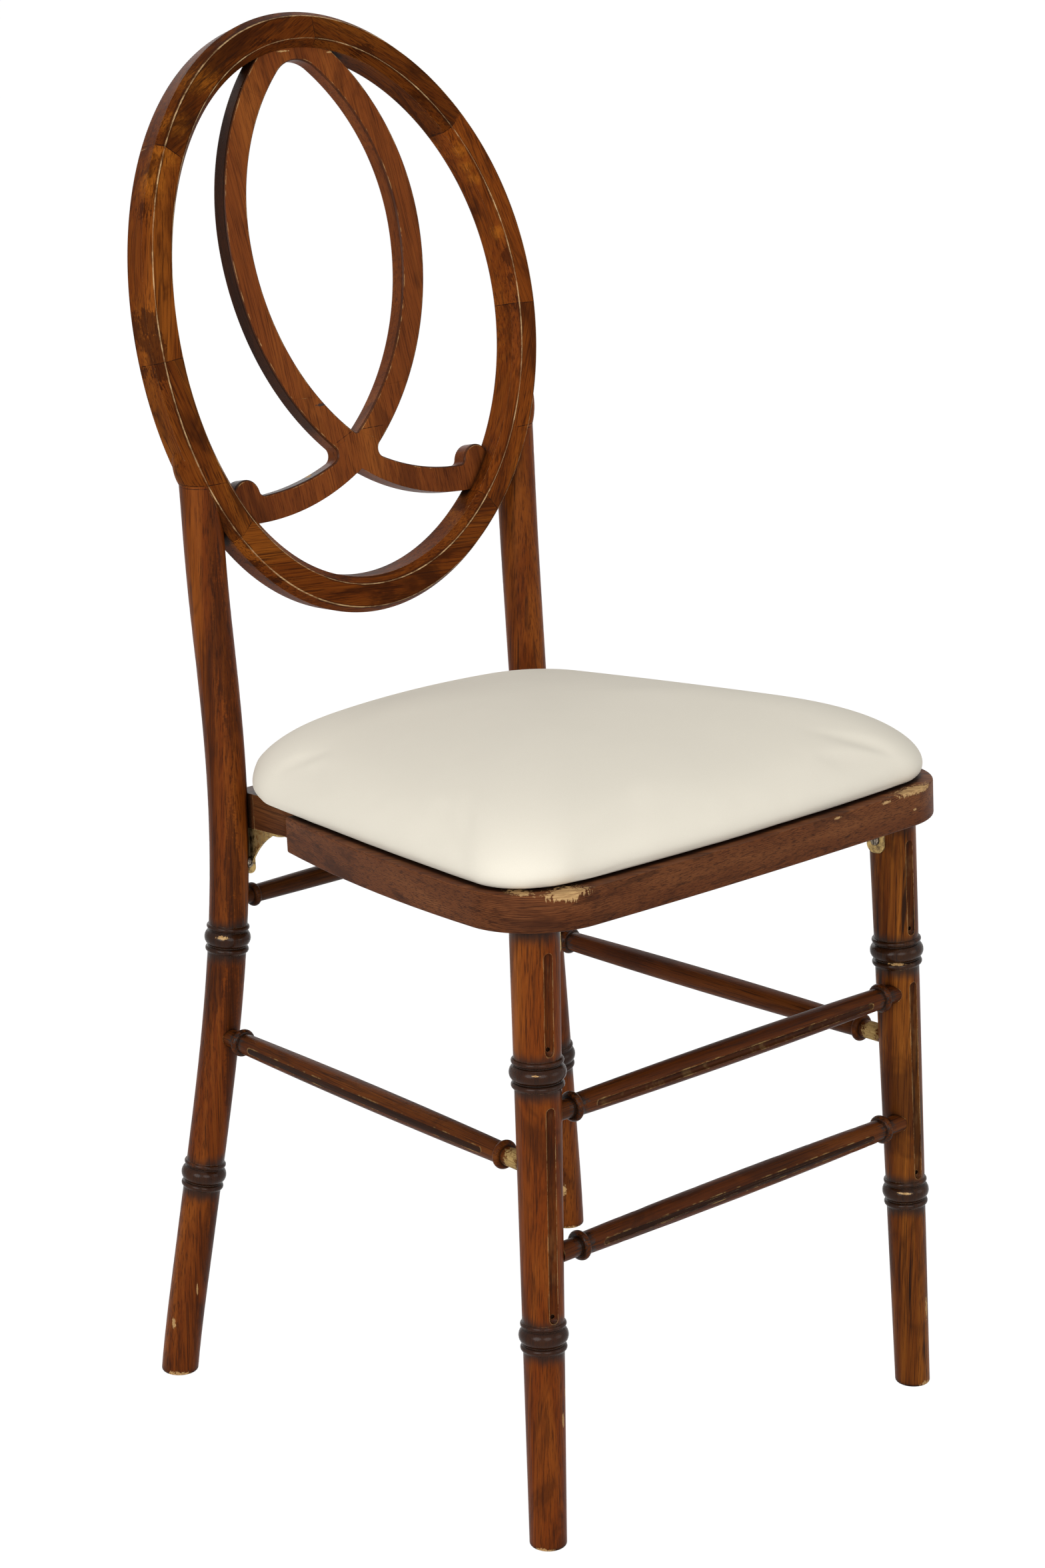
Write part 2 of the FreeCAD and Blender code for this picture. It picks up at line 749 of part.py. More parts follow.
def rounded_outline(inset, z, shape):
    # front arc, two front corners, two side arcs, two rear corners, rear arc
    fy, fr, sc, sr, ry, rr, rf, rb = shape
    fc = (0.0, fy + fr)
    rc = (0.0, ry - rr)
    kf = corner_centre(fc, fr, sc, sr, rf, (sc[0] + sr - rf, fy + rf))
    kb = corner_centre(sc, sr, rc, rr, rb, (sc[0] + sr - rb, ry - rb))
    p1 = beyond(fc, kf, fr - inset)
    p2 = beyond(sc, kf, sr - inset)
    p3 = beyond(sc, kb, sr - inset)
    p4 = beyond(rc, kb, rr - inset)

    def m(p):
        return (-p[0], p[1])

    edges = [
        arc_xy(fc, fr - inset, m(p1), p1, z),
        arc_xy(kf, rf - inset, p1, p2, z),
        arc_xy(sc, sr - inset, p2, p3, z),
        arc_xy(kb, rb - inset, p3, p4, z),
        arc_xy(rc, rr - inset, p4, m(p4), z),
        arc_xy(m(kb), rb - inset, m(p4), m(p3), z),
        arc_xy(m(sc), sr - inset, m(p3), m(p2), z),
        arc_xy(m(kf), rf - inset, m(p2), m(p1), z),
    ]
    return Part.Wire(edges)


band_sc, band_sr = side_circle(band_side_front, band_side_rear, band_side_bow)
band_shape = (seat_front_y, band_front_radius, band_sc, band_sr, 210.0, 700.0, band_corner_radius, 45.0)
cush_sc, cush_sr = side_circle(cushion_side_front, cushion_side_rear, cushion_side_bow)
cush_shape = (
    cushion_front_y, cushion_front_radius, cush_sc, cush_sr,
    cushion_rear_y, cushion_rear_radius, cushion_front_corner, cushion_rear_corner)


def plate(inset, z, height, shape):
    return Part.Face(rounded_outline(inset, z, shape)).extrude(V(0, 0, height))


def seat_band():
    # bent hardwood band round the front and both sides
    outer = plate(0, 0, seat_height, band_shape)
    inner = plate(band_thick, -1, seat_height + 2, band_shape)
    ring = outer.cut(inner)
    ends = box(-300, 300, band_side_rear[1], 400, -5, seat_height + 5)
    band = largest(ring.cut(ends))
    upright = []
    rims = []
    for e in band.Edges:
        b = e.BoundBox
        if b.XLength < 0.01 and b.YLength < 0.01 and b.ZLength > 20:
            if abs(b.YMin - band_side_rear[1]) < 1 and abs(b.XMin) > 146:
                upright.append(e)
    band = band.makeFillet(band_end_round, upright)
    for e in band.Edges:
        b = e.BoundBox
        if b.ZLength < 0.01 and (b.ZMin > seat_height - 0.01 or b.ZMin < 0.01):
            m = e.valueAt((e.FirstParameter + e.LastParameter) / 2)
            if outer_gap(m) < 4.0:
                rims.append(e)
    return band.makeFillet(band_edge_round, rims)


def outer_gap(point):
    # how far a point lies inside the band's outer face
    wire = rounded_outline(0, point.z, band_shape)
    return wire.distToShape(Part.Vertex(point))[0]


def side_tail():
    # behind the band the side rail bends straight back to the rear rail
    outer = []
    for y in (band_side_rear[1] - 20, band_side_rear[1]):
        x = band_sc[0] + math.sqrt((band_sr - band_thick) ** 2 - (y - band_sc[1]) ** 2)
        outer.append((x, y))
    outer.append((rail_leg_x, rail_straight_y))
    outer.append((rail_leg_x, rear_rail_y[0]))
    inner = [(x - rail_thick, y) for x, y in reversed(outer)]
    pts = [V(x, y, 0) for x, y in outer + inner + outer[:1]]
    return Part.Face(Part.makePolygon(pts)).extrude(V(0, 0, seat_height))


def seat_rails():
    # inner frame behind the band: front rail, side rails, rear rail
    inner_front = plate(band_thick, 0, seat_height, band_shape)
    core = plate(band_thick + rail_thick, -1, seat_height + 2, band_shape)
    hoop = inner_front.cut(core)
    front = hoop.common(box(-block_reach_x, block_reach_x, -260, -150, 0, seat_height))
    side = hoop.common(box(90, 260, block_reach_y, band_side_rear[1] - 10, 0, seat_height))
    side = largest(largest(side).fuse(side_tail()).removeSplitter())
    y0, y1 = rear_rail_y
    rear = box(-rail_leg_x, rail_leg_x, y0, y1, 0, seat_height)
    block = inner_front.common(box(block_reach_x, 260, -260, block_reach_y, 0, seat_height))
    return largest(front), side, rear, largest(block)


def seat_panel():
    # thin board let into the inner frame, flush with its top
    z = seat_height - panel_thick
    front = plate(band_thick + rail_thick - panel_lap, z, panel_thick, band_shape)
    body = front.common(box(-300, 300, -300, 40, 0, 100))
    y1 = rear_rail_y[0] + panel_lap
    x1 = rail_leg_x - rail_thick + panel_lap
    x0 = band_sc[0] + math.sqrt((band_sr - band_thick - rail_thick + panel_lap) ** 2 - (40 - band_sc[1]) ** 2)
    pts = [(x0, 40), (x1, 98), (x1, y1 - 12), (x1 - 12, y1)]
    ring = pts + [(-x, y) for x, y in reversed(pts)]
    tail = Part.makePolygon([V(x, y, z) for x, y in ring + ring[:1]])
    tail = Part.Face(tail).extrude(V(0, 0, panel_thick))
    return largest(body.fuse(tail).removeSplitter())


# Brass brackets, drawn on the seat's frame for the right-hand side
def edges_at(shape, axis, corner):
    # straight edges along one axis that stand at given x, y, z (None: any)
    found = []
    for e in shape.Edges:
        b = e.BoundBox
        size = (b.XLength, b.YLength, b.ZLength)
        low = (b.XMin, b.YMin, b.ZMin)
        if max(size[(axis + 1) % 3], size[(axis + 2) % 3]) > 0.01:
            continue
        fits = [c is None or abs(c - v) < 0.01 for c, v in zip(corner, low)]
        if all(fits):
            found.append(e)
    return found


def gusset_bracket():
    # pressed brass: an arm under the rail, a foot down the leg, a web
    s, x1, y1 = bracket_sheet, bracket_outer_x, bracket_leg_y
    y0 = y1 - bracket_along
    arm_plate = box(x1 - bracket_width, x1, y0, y1, -s, 0)
    arm_plate = arm_plate.makeFillet(5.0, edges_at(arm_plate, 2, (None, y0, None)))
    f0, f1 = bracket_foot_x
    foot = box(f0, f1, y1 - s, y1, -bracket_down, 0)
    foot = foot.makeFillet(3.6, edges_at(foot, 1, (None, None, -bracket_down)))
    edges = [
        line(V(x1 - s, y1, -s), V(x1 - s, y1 - 27, -s)),
        arc(V(x1 - s, y1 - 27, -s), V(x1 - s, y1 - 10.5, -14), V(x1 - s, y1 - s, -27)),
        line(V(x1 - s, y1 - s, -27), V(x1 - s, y1, -27)),
        line(V(x1 - s, y1, -27), V(x1 - s, y1, -s)),
    ]
    web = Part.Face(Part.Wire(edges)).extrude(V(s, 0, 0))
    return largest(arm_plate.fuse(foot).fuse(web).removeSplitter())


def angle_bracket():
    # small angle on the inner side of a front leg, under the corner block
    s, w, x1 = bracket_sheet, small_bracket_width, small_bracket_x
    y0, y1 = small_bracket_y - w / 2, small_bracket_y + w / 2
    top = box(x1 - small_bracket_arm, x1, y0, y1, -s, 0)
    top = top.makeFillet(5.0, edges_at(top, 2, (x1 - small_bracket_arm, None, None)))
    down = box(x1 - s, x1, y0, y1, -small_bracket_down, 0)
    down = down.makeFillet(6.0, edges_at(down, 0, (None, None, -small_bracket_down)))
    return largest(top.fuse(down).removeSplitter())


def screw(point, way):
    # pan-head screw whose head sits on a surface and shank runs along way
    way = V(way.x, way.y, way.z)
    way.normalize()
    r, h = screw_head_radius, screw_head_height
    edges = [
        line(V(0, 0, -h), V(r * 0.55, 0, -h)),
        arc(V(r * 0.55, 0, -h), V(r * 0.9, 0, -h * 0.66), V(r, 0, 0)),
        line(V(r, 0, 0), V(screw_shank_radius, 0, 0)),
        line(V(screw_shank_radius, 0, 0), V(screw_shank_radius, 0, screw_length - 2.5)),
        line(V(screw_shank_radius, 0, screw_length - 2.5), V(0, 0, screw_length)),
        line(V(0, 0, screw_length), V(0, 0, -h)),
    ]
    body = Part.Face(Part.Wire(edges)).revolve(V(0, 0, 0), V(0, 0, 1), 360)
    slot = box(-r, r, -0.4, 0.4, -h - 1, -h + 0.8)
    return stand(body.cut(slot), point, way)


# Cushion
def crowned(inset, low, top):
    # a crowned pad: drawn in at its foot, fullest a little above it, then
    # a quarter of a long oval up to the middle
    belly = seat_height + cushion_belly
    foot = cushion_tuck + inset
    steps = [(foot, low), (foot - cushion_tuck * 0.72, low + (belly - low) * 0.36), (inset, belly)]
    wires = [rounded_outline(d, z, cush_shape) for d, z in steps]
    skirt = Part.makeLoft(wires, True, False, False, 3)
    centre_y = (cushion_front_y + cushion_rear_y) / 2
    flat = rounded_outline(inset, 0, cush_shape)
    wires = [rounded_outline(inset, belly, cush_shape)]
    for i in range(1, crown_steps + 1):
        turn = math.radians(90.0 * i / (crown_steps + 0.6))
        shrink = math.cos(turn) ** crown_power
        ring = flat.copy()
        ring.scale(shrink, V(0, centre_y, 0))
        ring.translate(V(0, 0, belly + (top - belly) * math.sin(turn)))
        wires.append(ring)
    dome = Part.makeLoft(wires, True, True)
    return skirt.fuse(dome)


def cushion_parts():
    rest = seat_height + 2 * grip_thick
    hem_low = rest - cover_thick
    outer = crowned(0, hem_low, seat_height + cushion_crown)
    step = cover_thick + cover_gap
    inner = crowned(cover_thick, rest, seat_height + cushion_crown - cover_thick)
    filling = crowned(step, rest, seat_height + cushion_crown - step)
    mouth = plate(cushion_tuck + hem_reach, hem_low - 2, 6, cush_shape)
    cover = outer.cut(inner).cut(mouth)
    board = plate(board_inset, rest, board_thick, cush_shape)
    foam = filling.cut(board)
    return largest(cover), largest(foam), board


def grip_pads(z):
    # four strips of touch-and-close tape
    w, d = grip_size
    pads = []
    for x in (-70, 70):
        for y in (-130, 50):
            pads.append(box(x - w / 2, x + w / 2, y - d / 2, y + d / 2, z, z + grip_thick))
    return Part.makeCompound(pads)


def main():
    os.makedirs("parts", exist_ok=True)

    # oval ring in seven glued segments
    names = [
        "oval_ring_bottom", "oval_ring_right_lower", "oval_ring_right_upper", "oval_ring_top_right",
        "oval_ring_top_left", "oval_ring_left_upper", "oval_ring_left_lower"]
    ends = ring_joints + [ring_joints[0] + 360]
    ring = {}
    for i, name in enumerate(names):
        ring[name] = ring_segment(ends[i], ends[i + 1])
    for side, half in (("right", ring_half_width_right), ("left", ring_half_width_left)):
        swelling = lug(half)
        if side == "left":
            swelling = mirrored(swelling)
        for other in ("oval_ring_bottom", "oval_ring_" + side + "_upper"):
            swelling = swelling.cut(ring[other])
        name = "oval_ring_" + side + "_lower"
        ring[name] = largest(ring[name].fuse(swelling))

    # rear legs, doweled into the swellings and hollowed to the ring
    leg = rear_leg()
    head, head_way = rear_at(rear_top)
    dowel = Part.makeCylinder(dowel_radius, 2 * dowel_reach, head - head_way * dowel_reach, head_way)
    dowels = {"right": dowel, "left": mirrored(dowel)}
    for side, peg in dowels.items():
        name = "oval_ring_" + side + "_lower"
        ring[name] = largest(ring[name].cut(peg))
    leg = largest(leg.cut(dowel))
    save("post_dowels", Part.makeCompound(list(dowels.values())))

    splat = splat_parts(list(ring.values()))

    # front legs
    fore = front_leg()

    # stretchers
    upper = front_at(front_upper_z) + V(0, -front_stretcher_forward, 0)
    lower = front_at(front_lower_z) + V(0, -front_stretcher_forward, 0)
    front_out = V(0, -1, 0)
    side_a, side_away = rear_at(side_rear_z)
    side_b = front_at(side_front_z)
    back_a, back_away = rear_at(rear_stretcher_z)

    def across(p, ring_x, scale=1.0, flute=None):
        reach = p.x - ring_x
        return stretcher(V(-p.x, p.y, p.z), p, reach, reach, scale, flute)

    bars = {
        "front_stretcher_upper": across(upper, front_upper_ring, 1.0, front_out),
        "front_stretcher_lower": across(lower, front_lower_ring, 1.0, front_out),
        "rear_stretcher": across(back_a, back_a.x - rear_stretcher_ring, rear_stretcher_scale),
        "side_stretcher_right": stretcher(side_a, side_b, side_rear_ring, side_front_ring, 0.97, V(1, 0, 0)),
    }
    bars["side_stretcher_left"] = mirrored(bars["side_stretcher_right"])
    for name in ("front_stretcher_upper", "front_stretcher_lower", "side_stretcher_right"):
        fore = fore.cut(bars[name])
    leg = leg.cut(bars["rear_stretcher"]).cut(bars["side_stretcher_right"])

    # seat frame
    band = seat_band()
    front_rail, side_rail, rear_rail, block = seat_rails()
    panel = seat_panel()
    front_rail = front_rail.cut(panel)
    side_rail = side_rail.cut(panel)
    rear_rail = rear_rail.cut(panel)
    block = block.cut(panel)
    front_rail = seat_tilt(largest(front_rail))
    side_rail = seat_tilt(largest(side_rail))
    rear_rail = seat_tilt(largest(rear_rail))
    block = seat_tilt(largest(block))
    panel = seat_tilt(panel)
    band = seat_tilt(band)
    side_rail = largest(side_rail.cut(leg).cut(rear_rail))
    rear_rail = largest(rear_rail.cut(leg).cut(mirrored(leg)))
    block = largest(block.cut(fore))
    panel = largest(panel.cut(leg).cut(mirrored(leg)))

    # brackets and their screws
    gusset = seat_tilt(gusset_bracket())
    leg = largest(leg.cut(gusset))
    angle = seat_tilt(angle_bracket())
    fore = largest(fore.cut(angle))
    rail_screw_y = bracket_leg_y - 20
    rail_screw = seat_tilt(screw(V(bracket_outer_x - 8, rail_screw_y, -bracket_sheet), V(0, 0, 1)))
    leg_screw_at = V(bracket_foot_x[0] + 5.2, bracket_leg_y - bracket_sheet, -24)
    leg_screw = seat_tilt(screw(leg_screw_at, V(0.45, 1, 0)))
    block_screw_x = small_bracket_x - small_bracket_arm + 9
    block_screw = seat_tilt(screw(V(block_screw_x, small_bracket_y, -bracket_sheet), V(0, 0, 1)))
    fore_screw = seat_tilt(screw(V(small_bracket_x - bracket_sheet, small_bracket_y, -16), V(1, 0, 0)))
    side_rail = largest(side_rail.cut(rail_screw))
    gusset = gusset.cut(rail_screw).cut(leg_screw)
    leg = largest(leg.cut(leg_screw))
    block = largest(block.cut(block_screw))
    angle = angle.cut(block_screw).cut(fore_screw)
    fore = largest(fore.cut(fore_screw))
    screws = [rail_screw, leg_screw, block_screw, fore_screw]
    screws = screws + [mirrored(one) for one in screws]
    save("bracket_screws", Part.makeCompound(screws))
    save("bracket_front_right", angle)
    save("bracket_front_left", mirrored(angle))

    save("seat_band", band)
    save("seat_rail_front", front_rail)
    save("seat_rail_right", side_rail)
    save("seat_rail_left", mirrored(side_rail))
    save("seat_rail_rear", rear_rail)
    save("corner_block_right", block)
    save("corner_block_left", mirrored(block))
    save("seat_panel", panel)
    save("bracket_rear_right", gusset)
    save("bracket_rear_left", mirrored(gusset))
    for side, own in (("right", leg), ("left", mirrored(leg))):
        for name in ("oval_ring_" + side + "_lower", "oval_ring_bottom"):
            own = own.cut(ring[name])
        save("rear_leg_" + side, largest(own))
    save("front_leg_right", fluted(fore, flute_turn_right))
    save("front_leg_left", mirrored(fluted(fore, -flute_turn_left)))
    for name, shape in bars.items():
        save(name, shape)
    for name, shape in ring.items():
        save(name, shape)
    for name, shape in splat.items():
        save(name, shape)
    cover, foam, board = cushion_parts()
    save("cushion_cover", seat_tilt(cover))
    save("cushion_foam", seat_tilt(foam))
    save("cushion_board", seat_tilt(board))
    save("grip_pads_seat", seat_tilt(grip_pads(seat_height)))
    save("grip_pads_cushion", seat_tilt(grip_pads(seat_height + grip_thick)))


main()
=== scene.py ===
import json
import math

import bpy
import numpy as np
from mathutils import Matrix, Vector

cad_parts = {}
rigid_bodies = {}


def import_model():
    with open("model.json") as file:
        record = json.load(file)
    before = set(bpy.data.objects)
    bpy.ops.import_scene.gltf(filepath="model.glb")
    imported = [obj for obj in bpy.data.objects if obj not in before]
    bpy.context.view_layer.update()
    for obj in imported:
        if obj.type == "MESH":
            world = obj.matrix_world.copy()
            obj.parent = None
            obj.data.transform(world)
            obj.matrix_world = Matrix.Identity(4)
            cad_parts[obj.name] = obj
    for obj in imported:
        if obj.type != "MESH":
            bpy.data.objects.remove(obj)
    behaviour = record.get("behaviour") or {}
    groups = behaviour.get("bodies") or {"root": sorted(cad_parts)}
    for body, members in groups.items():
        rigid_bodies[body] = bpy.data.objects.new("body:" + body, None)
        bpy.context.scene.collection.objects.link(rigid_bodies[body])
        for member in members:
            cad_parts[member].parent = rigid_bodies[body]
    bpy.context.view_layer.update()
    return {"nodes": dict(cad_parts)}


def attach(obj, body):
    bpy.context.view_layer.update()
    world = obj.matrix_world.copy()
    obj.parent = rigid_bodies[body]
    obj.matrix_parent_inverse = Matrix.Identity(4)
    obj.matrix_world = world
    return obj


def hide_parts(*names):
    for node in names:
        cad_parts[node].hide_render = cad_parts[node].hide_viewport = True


# Looks for the wooden dining chair with an oval back and a loose cushion.
# Metres, +Z up, the chair faces -Y, floor at z = 0.

for leftOver in list(bpy.data.objects):
    bpy.data.objects.remove(leftOver)
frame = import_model()
nodes = frame["nodes"]
print("frame:", len(nodes), "nodes")

# Where the back and the seat lie, for patterns and pieces that follow them
back = {
    "centre": (0.0, 0.15357, 0.7231),
    "lean": math.radians(13.7),
    "halfWidth": 0.17,
    "halfHeight": 0.2067,
    "openHalfWidth": 0.1469,
    "openHalfHeight": 0.1822,
    "joints": [-137.5, -49.5, -4.0, 38.0, 83.5, 142.0, 184.0, 222.5],  # degrees round the ring
    "jointReach": 0.045,
    "leftHalf": 0.1714,  # the ring's reach at the left and the right, for its ridges
    "rightHalf": 0.1684,
    "innerWeight": 0.873,
    "ridgeShare": 0.184,
    "ridgeHalfWidth": 0.018,
}
seat = {
    "frontY": -0.2196,
    "middleY": 0.01983,
    "bottomZ": 0.4136,
    "slope": math.radians(3.78),
    "height": 0.0243,
}
sheetUp = Vector((0.0, math.sin(back["lean"]), math.cos(back["lean"])))
backFacing = (0.0, -math.cos(back["lean"]), math.sin(back["lean"]))
alongX = (0.0, -math.pi / 2, 0.0)  # turns that lay the grain along a bar
alongY = (math.pi / 2, 0.0, 0.0)


# Node helpers
def fillSockets(tree, inputs, sockets):
    # a value that is itself a socket is linked, any other is set
    for name, value in sockets.items():
        if isinstance(value, bpy.types.NodeSocket):
            tree.links.new(value, inputs[name])
        else:
            inputs[name].default_value = value


def addNode(tree, kind, settings=None, sockets=None):
    node = tree.nodes.new(kind)
    for name, value in (settings or {}).items():
        setattr(node, name, value)
    fillSockets(tree, node.inputs, sockets or {})
    return node


def calc(tree, operation, *terms, clamp=False):
    settings = {"operation": operation, "use_clamp": clamp}
    return addNode(tree, "ShaderNodeMath", settings, dict(enumerate(terms))).outputs[0]


def plus(tree, first, second, clamp=False):
    return calc(tree, "ADD", first, second, clamp=clamp)


def minus(tree, first, second):
    return calc(tree, "SUBTRACT", first, second)


def times(tree, first, second):
    return calc(tree, "MULTIPLY", first, second)


def strongest(tree, masks):
    # the greatest of several masks, and 0 where there is none
    total = masks[0] if masks else 0.0
    for mask in masks[1:]:
        total = calc(tree, "MAXIMUM", total, mask)
    return total


def vectorCalc(tree, operation, first, second=(0, 0, 0)):
    node = addNode(tree, "ShaderNodeVectorMath", {"operation": operation}, {0: first, 1: second})
    return node.outputs["Value" if operation in ("DOT_PRODUCT", "LENGTH") else "Vector"]


def dot(tree, first, second):
    return vectorCalc(tree, "DOT_PRODUCT", first, second)


def stretched(tree, vector, share):
    # a pattern on the result runs long along z, since z counts for less
    return vectorCalc(tree, "MULTIPLY", vector, (1.0, 1.0, share))


def axis(tree, vector, index):
    return addNode(tree, "ShaderNodeSeparateXYZ", None, {0: vector}).outputs[index]


def surfaceNormal(tree):
    return addNode(tree, "ShaderNodeNewGeometry").outputs["Normal"]


def remap(tree, value, low, high, newLow=0.0, newHigh=1.0):
    # smooth from newLow at low to newHigh at high; low may be the greater of the two
    sockets = {"Value": value, "From Min": low, "From Max": high, "To Min": newLow, "To Max": newHigh}
    return addNode(tree, "ShaderNodeMapRange", {"interpolation_type": "SMOOTHSTEP"}, sockets).outputs[0]


def mixColour(tree, factor, first, second):
    settings = {"data_type": "RGBA", "clamp_factor": True}
    return addNode(tree, "ShaderNodeMix", settings, {0: factor, 6: first, 7: second}).outputs[2]


def noise(tree, vector, scale, detail=3.0, roughness=0.6, distortion=0.0):
    sockets = {"Vector": vector, "Scale": scale, "Detail": detail, "Roughness": roughness,
               "Distortion": distortion}
    return addNode(tree, "ShaderNodeTexNoise", None, sockets).outputs[0]


def bumped(tree, height, strength, depth, normal=None, invert=False):
    sockets = {"Height": height, "Strength": strength, "Distance": depth}
    if normal is not None:
        sockets["Normal"] = normal
    return addNode(tree, "ShaderNodeBump", {"invert": invert}, sockets).outputs[0]


def newGroup(name, inputs):
    # an empty shader group; an input's kind follows from its value
    tree = bpy.data.node_groups.new(name, "ShaderNodeTree")
    kinds = {1: "NodeSocketFloat", 3: "NodeSocketVector", 4: "NodeSocketColor"}
    for label, value in inputs.items():
        kind = kinds[np.size(value)]
        tree.interface.new_socket(name=label, in_out="INPUT", socket_type=kind).default_value = value
    return tree, tree.nodes.new("NodeGroupInput").outputs


def newPattern(name, inputs):
    # a group that reads a place on the piece, which it also returns
    tree, given = newGroup(name, {"Vector": (0, 0, 0), **inputs})
    return tree, given, given["Vector"]


def giveOut(tree, outputs):
    # the group's outputs, each of its source's kind
    kinds = {"VALUE": "NodeSocketFloat", "VECTOR": "NodeSocketVector", "RGBA": "NodeSocketColor"}
    for label, source in outputs.items():
        tree.interface.new_socket(name=label, in_out="OUTPUT", socket_type=kinds[source.type])
    addNode(tree, "NodeGroupOutput", None, outputs)
    return tree


def placeGroup(tree, group, sockets):
    return addNode(tree, "ShaderNodeGroup", {"node_tree": group}, sockets).outputs


def placeEach(tree, group, labels, rows, sockets):
    # the group once for each row of values
    return [placeGroup(tree, group, {**sockets, **dict(zip(labels, row))}) for row in rows]


# Effects that several finishes share
grainShape = {
    "axis": (0.031, 0.047),  # the growth rings' middle, beside the piece
    "wobble": 0.026,
    "long": 0.07,
    "fine": 0.022,
    "patch": 0.35,
}


def buildWoodGrain():
    # fibres run along the vector's z; a growth ring is where sqrt(x^2 + y^2) from the
    # axis, plus a wobble, is a whole number of ring spacings
    tree, given, place = newPattern("woodGrain", {
        "Seed": 0.0, "Ring Spacing": 0.004, "Fibre Size": 0.0008})
    seed = given["Seed"]
    shift = addNode(tree, "ShaderNodeCombineXYZ", None, {0: seed, 1: seed, 2: seed}).outputs[0]
    vector = vectorCalc(tree, "ADD", place, shift)
    long = stretched(tree, vector, grainShape["long"])
    fine = stretched(tree, vector, grainShape["fine"])
    patches = stretched(tree, vector, grainShape["patch"])
    x, y = (plus(tree, axis(tree, place, i), grainShape["axis"][i]) for i in (0, 1))
    radius = calc(tree, "SQRT", plus(tree, times(tree, x, x), times(tree, y, y)))
    wobble = times(tree, noise(tree, long, 22.0), grainShape["wobble"])
    turn = calc(tree, "DIVIDE", times(tree, plus(tree, radius, wobble), 2 * math.pi), given["Ring Spacing"])
    rings = remap(tree, calc(tree, "SINE", turn), -0.6, 1.0)
    broken = remap(tree, noise(tree, long, 60.0), 0.36, 0.62, 0.15, 1.0)
    fibreScale = calc(tree, "DIVIDE", 1.0, given["Fibre Size"])
    poreScale = calc(tree, "DIVIDE", 1.6, given["Fibre Size"])
    return giveOut(tree, {
        "Figure": times(tree, rings, broken),
        "Fibre": noise(tree, fine, fibreScale, 4.0, 0.62),
        "Pores": remap(tree, noise(tree, fine, poreScale, 1.0, 0.5), 0.6, 0.72),
        "Cloud": noise(tree, long, 34.0, 3.0, 0.55, 0.4),
        "Streak": remap(tree, noise(tree, fine, 260.0, 3.0, 0.6, 0.3), 0.56, 0.68),
        "Blotch": noise(tree, patches, 30.0, 4.0, 0.62, 0.8)})


def buildArrisWear():
    # Wear: outside edges rubbed through in broken runs; Hollow: painted shade in hollows and where
    # parts meet, with the stain that gathers there; Quiet keeps glued joints from looking like edges
    tree, given, place = newPattern("arrisWear", {
        "Radius": 0.0012, "Amount": 0.4, "Break Size": 0.012, "Hollow Reach": 0.006, "Quiet": 0.0})
    bevel = addNode(tree, "ShaderNodeBevel", {"samples": 8}, {"Radius": given["Radius"]}).outputs[0]
    normal = surfaceNormal(tree)
    mixed = addNode(tree, "ShaderNodeMix", {"data_type": "VECTOR"}, {0: given["Quiet"], 4: bevel, 5: normal})
    rounded = mixed.outputs[1]
    edge = remap(tree, minus(tree, 1.0, dot(tree, rounded, normal)), 0.012, 0.16)
    reach = {"Distance": given["Hollow Reach"]}
    open = addNode(tree, "ShaderNodeAmbientOcclusion", {"samples": 8}, reach).outputs["AO"]
    convex = times(tree, edge, remap(tree, open, 0.55, 0.9))
    coarse = noise(tree, place, calc(tree, "DIVIDE", 1.0, given["Break Size"]))
    fine = noise(tree, place, calc(tree, "DIVIDE", 9.0, given["Break Size"]), 2.0)
    score = times(tree, convex, plus(tree, times(tree, coarse, 1.5), times(tree, fine, 0.5)))
    limit = minus(tree, 1.45, given["Amount"])
    return giveOut(tree, {
        "Wear": remap(tree, score, minus(tree, limit, 0.16), plus(tree, limit, 0.1)),
        "Hollow": remap(tree, open, 0.93, 0.42),
        "Normal": rounded})


def buildStainBand():
    # a ragged dark belt round a turned piece at one height
    tree, given, place = newPattern("stainBand", {
        "Height": 0.1, "Half Height": 0.012, "Fade": 0.01})
    away = calc(tree, "ABSOLUTE", minus(tree, axis(tree, place, 2), given["Height"]))
    ragged = minus(tree, noise(tree, stretched(tree, place, 0.25), 160.0), 0.5)
    away = plus(tree, away, times(tree, ragged, given["Fade"]))
    far = plus(tree, given["Half Height"], given["Fade"])
    return giveOut(tree, {"Mask": remap(tree, away, far, given["Half Height"])})


def sizedReach(tree, place, given):
    # how far a point is from Centre, counted in Sizes
    away = vectorCalc(tree, "SUBTRACT", place, given["Centre"])
    return vectorCalc(tree, "LENGTH", vectorCalc(tree, "DIVIDE", away, given["Size"]))


def buildWornSpot():
    # a rubbed or stained place round one point, broken up along the fibres; it is full
    # within Core and gone past Edge
    tree, given, place = newPattern("wornSpot", {
        "Centre": (0, 0, 0), "Size": (0.01, 0.01, 0.01), "Fibre": 0.5, "Ragged": 0.8, "Core": 0.62,
        "Edge": 0.95})
    patchy = minus(tree, noise(tree, place, 420.0, 3.0, 0.65), 0.5)
    rough = plus(tree, patchy, minus(tree, given["Fibre"], 0.5))
    reach = plus(tree, sizedReach(tree, place, given), times(tree, rough, times(tree, given["Ragged"], 2.0)))
    return giveOut(tree, {"Mask": remap(tree, reach, given["Edge"], given["Core"])})


